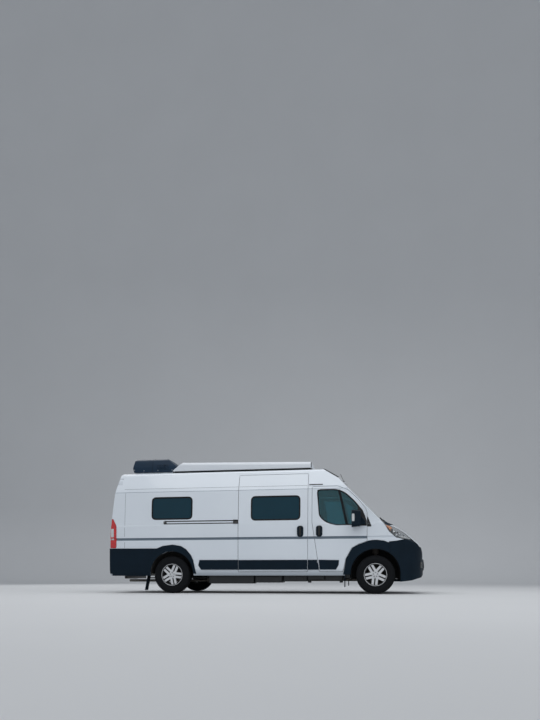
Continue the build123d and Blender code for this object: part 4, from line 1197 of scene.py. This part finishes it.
# %% Cab seats
seat_y = -450
cushion_form = pad_form([
    ((x, seat_y, 852 + 0.05 * (x - 1215) + lift), (0, 0, 1), half, thick, bolster)
    for x, lift, half, thick, bolster in (
        (1216, -4, 196, 76, 6), (1240, 0, 212, 94, 16), (1330, 0, 218, 98, 26), (1450, 0, 218, 100, 28),
        (1550, 2, 216, 98, 22), (1610, 0, 210, 84, 8), (1638, -8, 196, 56, 0))
])
back_out = Vector((0.978, 0, 0.208))
back_form = pad_form([
    ((1196 - 0.205 * (z - 880) - shift, seat_y, z), back_out, half, thick, bolster)
    for z, shift, half, thick, bolster in (
        (886, 0, 186, 76, 8), (930, 0, 206, 96, 22), (1060, 0, 216, 100, 30), (1200, 0, 218, 98, 32),
        (1330, 2, 210, 92, 24), (1420, 6, 190, 84, 10), (1466, 12, 160, 60, 0))
])
rest_form = pad_form([
    ((1072, seat_y, z), (1, 0, 0), half, thick, 0)
    for z, half, thick in ((1520, 90, 40), (1540, 118, 62), (1600, 128, 66), (1655, 118, 60), (1680, 92, 40))
], 0.6)
mattress_form = pad_form([
    ((x, 0, 968), (0, 0, 1), half, thick, 0)
    for x, half, thick in ((-2976, 880, 84), (-2955, 918, 112), (-2700, 924, 118), (-1990, 924, 118),
                           (-1735, 918, 112), (-1714, 880, 84))
], 0.16)
cushion, seat_back, head_rest, mattress_pad = puffed([
    (cushion_form, 9, 14, 796), (back_form, 9, 14, 800), (rest_form, 8, 10, 1500), (mattress_form, 18, 12, 902)])


def seat_dip(p):
    """Seat cushion: two long seams beside the bolsters and two across"""
    top = 1 if p.z > 850 else 0
    return top * max(furrow(abs(p.y - seat_y) - 140, 11, 8), furrow(p.x - 1340, 10, 6), furrow(p.x - 1470, 10, 6),
                     furrow(p.x - 1590, 10, 7))


def back_dip(p):
    """Backrest: the same seams, with ribs across its middle"""
    front = 1 if (p.x - (1196 - 0.205 * (p.z - 880))) > 10 else 0
    inner = 1 if abs(p.y - seat_y) < 142 else 0
    return front * max(furrow(abs(p.y - seat_y) - 140, 11, 8), inner * furrow((p.z - 980) % 110 - 55, 10, 5))


def quilt_dip(p):
    """Mattress: a diamond quilting on its top and bottom, a welt round each edge"""
    u, v = (p.x + p.y) / 230 % 1 - 0.5, (p.x - p.y) / 230 % 1 - 0.5
    flat = 1 if p.z > 1010 and abs(p.y) < 900 else 0
    sides = furrow(p.z - 1008, 9, 6) + furrow(p.z - 930, 9, 6)
    return flat * max(furrow(u * 230, 22, 7), furrow(v * 230, 22, 7)) + (0 if flat else sides)


soft = [pressed(cushion, seat_dip), pressed(seat_back, back_dip),
        pressed(head_rest, lambda p: furrow(p.x - 1072, 7, 4))]
for side, turn in turns.items():
    for label, mesh in zip(("seat_cushion_", "seat_back_", "head_rest_"), soft):
        shape = mesh.copy() if turn < 0 else mirrored(mesh)
        shape.shade_smooth()
        pad = piece(label + side, shape, seat_cloth, replaced=["cab_seats"])
    plinth = block((1204, turn * 262, 560), (1556, turn * 640, 796), 14, 3)
    runners = [block((1160, turn * y - 16, 560), (1620, turn * y + 16, 588), 5, 2) for y in (300, 600)]
    lever = block((1560, turn * 560 - 60, 760), (1600, turn * 560 + 60, 776), 7, 2)
    shell = block((1208, turn * 652 - 6, 740), (1560, turn * 652 + 6, 850), 5, 2)
    rods = [spun([(0, 60), (6, 60), (6, -60), (0, -60)], 16, (1070, turn * 450 + dy, 1478)) for dy in (-70, 70)]
    piece("seat_plinth_" + side, joined([plinth, lever, shell] + runners), dash_plastic)
    piece("head_rest_rods_" + side, joined(rods), stainless)
quilt = pressed(mattress_pad, quilt_dip)
bed = piece("mattress_pad", quilt, mattress_ticking, replaced=["mattress"])
print("soft pieces:", [round(d, 3) for d in bed.dimensions])

# %% [markdown]
# ## The tent, folded
# A pop-up tent is one band of coated canvas between the roof frame and the lid. When the lid is down it
# lies in pleats that turn inwards, deep at the front where the lid will rise far, shallow at its hinge.
# The pleats are sized so that the cloth in them would stand up in even bands over the rise of the open
# lid; the band itself stays folded. A simulation could fold it too, but slowly and unevenly; pleats worked out by a
# formula come out even.

# %% Pleated canvas band
pleats, tent_low, tent_high = 24, 2516.5, 2555.5
tent_rear, tent_front, tent_half, tent_corner = -1758.0, 918.0, 668.0, 60
hinge_x, lid_open = -1880.0, radians(17)
# Cloth in a pleat over the height it covers, and the band's height at the front over its mean height
pleat_slack, front_over_mean = 1.35, 1.75


def eased_height(share):
    """Place between van and lid at which the blend's smooth weight comes to this share"""
    return 0.5 - sin(asin(1 - 2 * share) / 3)


outline = stepped(rectangle((tent_rear, -tent_half), (tent_front, tent_half)), tent_corner, 60, True)
bm, rings = bmesh.new(), []
for row in range(2 * pleats + 1):
    height = tent_low + (tent_high - tent_low) * eased_height(row / (2 * pleats))
    ring = []
    for p in outline:
        rise = (p.x - hinge_x) * sin(lid_open)
        deep = max(4.0, rise / (2 * pleats)) * (row % 2) * pleat_slack
        near = Vector((min(max(p.x, tent_rear + tent_corner), tent_front - tent_corner),
                       min(max(p.y, tent_corner - tent_half), tent_half - tent_corner)))
        spot = p + (near - p).normalized() * deep
        ring.append(bm.verts.new(at(spot.x, spot.y, height)))
    rings.append(ring)
for low, high in zip(rings, rings[1:]):
    for k in range(len(outline)):
        bm.faces.new((low[k - 1], low[k], high[k], high[k - 1]))
bmesh.ops.recalc_face_normals(bm, faces=bm.faces)
cloth_area = sum(face.calc_area() for face in bm.faces)
for face in bm.faces:
    centre = face.calc_center_median() / mm
    face.material_index = 1 if centre.x > 900 - 45 and abs(centre.y) < 380 and 2522 < centre.z < 2550 else 0
canvas = node_mesh(bm)
canvas.materials.append(tent_canvas)
canvas.materials.append(tent_net)
canvas.shade_smooth()
band = piece("tent_canvas_band", canvas, body=None, replaced=["tent"])
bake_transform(band)

# %% [markdown]
# ## Cabinets and worktop
# Flat-pack cabinets show as doors with thin gaps between them, a thick worktop and small metal handles.
# Grooves in one board would do from afar, but separate doors with rounded edges catch the light as real
# ones do, and a grid function sets them all.

# %% Doors, drawers, worktop and sink
doors, pulls = [], []


def fronts(low, high, columns, rows, face_y, out):
    """Cabinet doors in a grid on a face that looks along Y, each with a handle"""
    wide, tall = (high[0] - low[0]) / columns, (high[1] - low[1]) / rows
    for i in range(columns):
        for j in range(rows):
            x, z = low[0] + i * wide, low[1] + j * tall
            middle, top, skin_y = x + wide / 2, z + tall, face_y + out * 16
            doors.append(block((x + 3, face_y, z + 3), (x + wide - 3, skin_y, top - 3), 2.5, 2))
            pulls.append(block((middle - 60, skin_y, top - 34), (middle + 60, face_y + out * 34, top - 24), 4, 2))


fronts((-1320, 600), (-485, 1405), 2, 3, -460, 1)
fronts((-1320, 600), (-355, 1400), 2, 1, 420, -1)
fronts((-1320, 1405), (-355, 1990), 2, 1, 420, -1)
for side in (-1, 1):
    fronts((-2890, 2030), (-510, 2280), 5, 1, side * 520, -side)
fronts((-2980, 600), (-1710, 870), 2, 1, 640, 1)
piece("cabinet_doors", joined(doors), oak_laminate)
piece("cabinet_handles", joined(pulls), stainless)
slab = block((-1335, -952, 1416), (-468, -440, 1442), 6, 3)
piece("kitchen_worktop", slab, worktop)
basin = spun([(0, 3), (20, 3), (120, 6), (150, 12), (168, 14), (176, 10), (178, 0)], 48, (-1120, -700, 1438))
hob = block((-900, -880, 1440), (-560, -520, 1450), 4, 2)
tap = pipe([(-1120, y, z) for y, z in (
    (-905, 1438), (-905, 1600), (-890, 1640), (-850, 1658), (-790, 1650), (-770, 1622))])
piece("sink_and_tap", joined([basin, swept([tap], stainless, 18, 18, 8)]), stainless)
piece("hob_glass", hob, smooth_black)
planks = [block((x, y0, 559), (1190, y1, 565), 1, 1)
          for x, y0, y1 in ((-1690, -455, 412), (-470, -900, -455), (-340, 412, 900))]
piece("floor_covering", joined(planks), floor_vinyl)
print("doors:", len(doors))

# %% [markdown]
# ## Dashboard
# Through the windscreen a dashboard is read by its hood, vents, screen and wheel. The moulding itself is
# the CAD solid; what is round is spun from a profile and what is boxy is a rounded block, which is enough
# behind tinted glass.

# %% Dashboard: hood, vents, screen, lever and steering wheel
hood = pad_form([((x, 430, 1268 + lift), (0, 0, 1), half, thick, 0) for x, lift, half, thick in (
    (2030, -4, 150, 40), (2060, 6, 168, 62), (2130, 10, 172, 60), (2210, 4, 150, 40))], 0.6)
screen = block((2034, -120, 1150), (2052, 120, 1290), 6, 3)
lever = pipe([(2010, 90, 1040), (1975, 90, 1075), (1950, 90, 1110)])
knob = spun([(0, 34), (16, 30), (22, 12), (18, -10), (10, -22), (0, -24)], 24, (1945, 90, 1122))
grip = spun([(185 + 17 * cos(radians(a)), 17 * sin(radians(a))) for a in range(0, 360, 24)], 64, closed=True)
centre = spun([(0, 20), (40, 18), (68, 8), (76, -12), (60, -34), (0, -40)], 40)
spokes = [block((x0, y0, -12), (x1, y1, 4), 6, 2)
          for x0, y0, x1, y1 in ((-176, -14, -60, 14), (60, -14, 176, 14), (-14, -176, 14, -60))]
rim_middle = Vector((1850, 430, 1267))
rim_way = (rim_middle - Vector((2120, 430, 1140))).normalized()
wheel = aimed(joined([grip, centre] + spokes), rim_middle * mm, rim_way, "Z", "X")
shroud = block((1950, 385, 1160), (2070, 475, 1270), 20, 3)
vent = [(0, -6), (30, -6), (34, 2), (42, 6), (46, 0), (46, -10)]
rings = [spun(vent, 32, (2040, y, 1216), "X") for y in (-770, -250, 250, 770)]
piece("dash_hood", joined([hood, shroud]), dash_plastic)
piece("dash_screen", screen, smooth_black)
piece("steering_wheel_rim", wheel, dash_plastic)
piece("gear_lever", joined([swept([lever], stainless, 14, 14, 6), knob]), smooth_black)
piece("dash_vents", joined(rings), smooth_black)

# %% [markdown]
# ## Under the floor
# Below the sills a camper carries tanks and splash shields, all dark, the tanks hung on steel straps from
# the floor. From the side they read as one low dark mass between the wheels; from below, each is its own
# moulding. Rounded blocks are close to such plain mouldings, and a loop gives each tank ribs and straps.

# %% Tanks up to the floor, shields and straps
tank_tops, straps, ribs_under = [], [], []
# Fresh water, waste water and gas: X from and to, Y from and to, bottom
for x0, x1, y0, y1, low in ((-145, 415, -880, -500, 218), (490, 900, -875, -500, 250), (60, 1140, 490, 870, 238)):
    tank_tops.append(block((x0 + 6, y0 + 4, low + 16), (x1 - 6, y1 - 4, 479), 26, 3))
    for k in range(3):
        x = x0 + (x1 - x0) * (0.5 + k) / 3
        loop = [(Vector(p) * mm, Vector(n)) for p, n in (
            ((x, y0 - 1, 479), (0, -1, 0)), ((x, y0 - 1, low + 24), (0, -1, 0)), ((x, y0 + 24, low - 1), (0, 0, -1)),
            ((x, y1 - 24, low - 1), (0, 0, -1)), ((x, y1 + 1, low + 24), (0, 1, 0)), ((x, y1 + 1, 479), (0, 1, 0)))]
        straps.append((loop, False))
    for k in range(5):
        x = x0 + (x1 - x0) * (k + 1) / 6
        ribs_under.append(block((x - 10, y0 + 20, low - 5), (x + 10, y1 - 20, low + 30), 4, 2))
piece("tank_bodies", joined(tank_tops + ribs_under), tank_plastic)
piece("tank_straps", swept(straps, smooth_black, 2.5, 28, 1))
shields = []
# Side and splash shields: X from and to, bottom, side
for x0, x1, low, turn in (
    (-1080, -158, 196, -1), (905, 1245, 268, -1), (1250, 1600, 254, -1), (430, 900, 238, -1),
    (-1080, 40, 236, 1), (1150, 1600, 262, 1), (1606, 1750, 296, -1), (1606, 1750, 296, 1), (2694, 2790, 284, -1),
    (2694, 2790, 284, 1)):
    shields.append(block((x0, turn * 560, low), (x1, turn * 872, 479), 24, 3))
for x, low, turn in ((940, 214, -1), (1560, 216, -1)):
    shields.append(block((x - 32, turn * 700, low), (x + 32, turn * 800, 300), 12, 2))
piece("side_shields", joined(shields), tank_plastic)
print("tanks and shields:", len(tank_tops), len(shields))

# %% [markdown]
# ## Dampers, lines and shield
# Two dampers and two rubber stops stand between the rear axle and the frame, and a heat shield keeps the
# exhaust off the floor. Dampers are turned parts, so they are spun; brake lines are sections on a line.

# %% Dampers, bump stops, brake lines and heat shield
damper = spun([(0, 0), (26, 0), (28, -6), (28, -190), (22, -196), (12, -198), (12, -330), (0, -332)], 24)
dampers = []
for turn in (-1, 1):
    top, foot = Vector((-1690, turn * 520, 560)), Vector((-1790, turn * 560, 250))
    dampers.append(aimed(damper.copy(), top * mm, foot - top, "-Z", "X"))
    stop = [(0, 0), (30, 0), (34, -20), (26, -46), (30, -60), (16, -78), (0, -80)]
    dampers.append(spun(stop, 24, (-1813, turn * 430, 482)))
piece("rear_dampers", joined(dampers), smooth_black)
lines = [pipe([(x, y, 470) for x in (1900, 1200, 400, -500, -1500)], (0, 0, -1)) for y in (60, 78, 96)]
piece("brake_lines", swept(lines, exhaust_steel, 8, 8, 3.5))
shield = block((-700, -260, 462), (1300, 20, 470), 2, 1)
piece("heat_shield", shield, exhaust_steel)
cross = [block((x - 30, -400, 404), (x + 30, 400, 478), 10, 2) for x in (-900, -200, 500, 1200)]
piece("cross_members", joined(cross), underseal)

# %% [markdown]
# ## Behind the bonnet
# With the bonnet up one sees a ribbed engine cover, battery, coolant tank, hoses and the lock carrier.
# They show only with the bonnet up, so plain rounded blocks stand for them; the hoses are smooth bends
# pulled towards four points, because a hose never has a corner.

# %% Engine bay
cover_parts = [block((2384, -250, 1112), (2700, 250, 1146), 14, 3)]
cover_parts += [block((2400, y - 8, 1140), (2684, y + 8, 1153), 5, 2) for y in (-180, -108, -36, 36, 108, 180)]
cover_parts.append(spun([(0, 26), (24, 25), (30, 18), (32, 0), (32, -12)], 28, (2660, 214, 1146)))
piece("engine_cover", joined(cover_parts), smooth_black)
battery = [block((2480, 412, 838), (2722, 650, 856), 4, 2), block((2490, 426, 852), (2712, 636, 1046), 8, 2)]
poles = [spun([(0, 22), (9, 21), (11, 0), (11, -6)], 18, (2520, y, 1050)) for y in (470, 590)]
piece("battery_and_tray", joined(battery), tank_plastic)
piece("battery_poles", joined(poles), cast_iron)
coolant = [block((2500, -566, 968), (2662, -396, 1098), 30, 4),
           spun([(0, 30), (26, 28), (30, 20), (31, -8)], 28, (2580, -480, 1098))]
piece("coolant_tank", joined(coolant), white_lens)


def bend(points, share):
    """Point at a share of the way along a smooth bend drawn by a few points"""
    if len(points) == 1:
        return points[0]
    return bend([here.lerp(there, share) for here, there in zip(points, points[1:])], share)


hoses = []
for points in (
    ((2500, -440, 1000), (2480, -300, 1040), (2520, -180, 1090), (2600, -120, 1116)),
    ((2790, 300, 1000), (2818, 300, 1012), (2840, 280, 1000), (2846, 260, 960)),
    ((2790, -320, 640), (2818, -320, 646), (2838, -300, 660), (2846, -280, 700))):
    curve = [Vector(p) * mm for p in points]
    hoses.append(([(bend(curve, t / 5), Vector((0.3, 0, 1))) for t in range(6)], False))
piece("coolant_hoses", swept(hoses, seal_rubber, 36, 36, 17))
carrier = [block((2846, -520, 984), (2886, 520, 1016), 7, 2), block((2848, -390, 560), (2868, 390, 990), 4, 2)]
carrier += [block((2850, turn * 500 - 18, 640), (2884, turn * 500 + 18, 1000), 6, 2) for turn in (-1, 1)]
piece("lock_carrier_and_radiator", joined(carrier), underseal)
fin = block((-370, -1.5, -3), (370, 1.5, 3), 0.5, 1)
rows = [(at(2869, 0, 580 + 14 * k), ahead, across) for k in range(29)]
piece("radiator_fins", scattered(fin, rows, exhaust_steel))

# %% [markdown]
# ## Door cards
# Open doors show moulded cards: with a pocket at the rear, with an armrest and a bin at the front. Each
# is a plate dropped onto the inner face of its door by rays, so it follows the panel and goes with it.

# %% Door cards
for side, turn in turns.items():
    inner = surface_of("rear_door_" + side)
    card = rectangle((turn * 60, 640), (turn * 800, 1350))
    pocket = rectangle((turn * 180, 760), (turn * 680, 960))
    body = "rear_door_" + side
    piece("rear_card_" + side, plate(inner, "front", card, 70, 7, 60, 3), dash_plastic, body=body)
    piece("rear_card_pocket_" + side, plate(inner, "front", pocket, 40, 26, 60, 8), dash_plastic, body=body)
    inner = surface_of("cab_door_" + side)
    from_inside = "left" if turn < 0 else "right"
    card = [(1180, 560), (1560, 560), (1700, 830), (1880, 940), (2010, 1000), (2010, 1270), (1500, 1270),
            (1330, 1290), (1180, 1400)]
    rest = [(1230, 1080), (1700, 1080), (1760, 1120), (1740, 1150), (1230, 1150)]
    body = "cab_door_" + side
    piece("cab_card_" + side, plate(inner, from_inside, card, 30, 8, 60, 3), dash_plastic, body=body)
    piece("cab_arm_rest_" + side, plate(inner, from_inside, rest, 24, 52, 60, 12), dash_plastic, body=body)
    bin_line = [(1240, 620), (1520, 620), (1600, 800), (1600, 850), (1240, 850)]
    piece("cab_door_bin_" + side, plate(inner, from_inside, bin_line, 26, 40, 60, 9), dash_plastic, body=body)

# %% [markdown]
# ## Stage, light and camera
# A pale floor that curves up into a wall, one broad lamp overhead, and soft fill from the world. A sky
# picture would mirror a place in the paint; a plain sweep leaves the tones to the finishes. The camera
# stands low and far off, a little ahead of the middle, as in the photograph.

# %% Floor, lamps and camera


def backdrop():
    """Pale floor that curves up into a wall behind the van"""
    bm = bmesh.new()
    path = [(-300.0, 0.0), (14.0, 0.0)]
    path += [(14 + 4 * sin(a * pi / 16), 4 - 4 * cos(a * pi / 16)) for a in range(1, 9)]
    path += [(18.0, 42.0)]
    rows = [[bm.verts.new((x, y, z)) for x in (-300, 300)] for y, z in path]
    for low, high in zip(rows, rows[1:]):
        bm.faces.new((low[0], low[1], high[1], high[0]))
    mesh = node_mesh(bm)
    mesh.shade_smooth()
    obj = linked("studio_floor", mesh)
    # Matt grey-white board: it takes the soft shadow under the van
    mesh.materials.append(finish("pale_studio_floor", "C9CBCD", "CFD1D3", 0.9, 3000, 40, 0.0))


backdrop()
world = bpy.data.worlds.new("studio")
bpy.context.scene.world = world
world.use_nodes = True
background = world.node_tree.nodes["Background"]
background.inputs["Color"].default_value = linear("E4E8EE")
background.inputs["Strength"].default_value = 0.62
# Each lamp: its name, place and width in metres, and its power in watts
for name, place, size, power in (
    ("overhead", (1, -2, 10), 16, 760), ("key", (9, -13, 9), 9, 230), ("back", (-9, 9, 7), 8, 240)):
    lamp = bpy.data.lights.new(name, "AREA")
    lamp.energy, lamp.size = power, size
    holder = linked(name, lamp)
    holder.location = place
    holder.rotation_euler = (Vector((0, 0, 1)) - Vector(place)).to_track_quat("-Z", "Y").to_euler()

# The lens, its shift and the place and turn of the camera were fitted to the photograph
camera = bpy.data.cameras.new("camera")
camera.lens, camera.sensor_width, camera.shift_y = 31.9, 36, 0.299
viewer = linked("camera", camera)
viewer.location = (2.2135, -13.325, 0.36)
viewer.rotation_euler = (radians(90), 0, radians(9.35))
bpy.context.scene.camera = viewer
bpy.context.scene.view_settings.view_transform = "Standard"
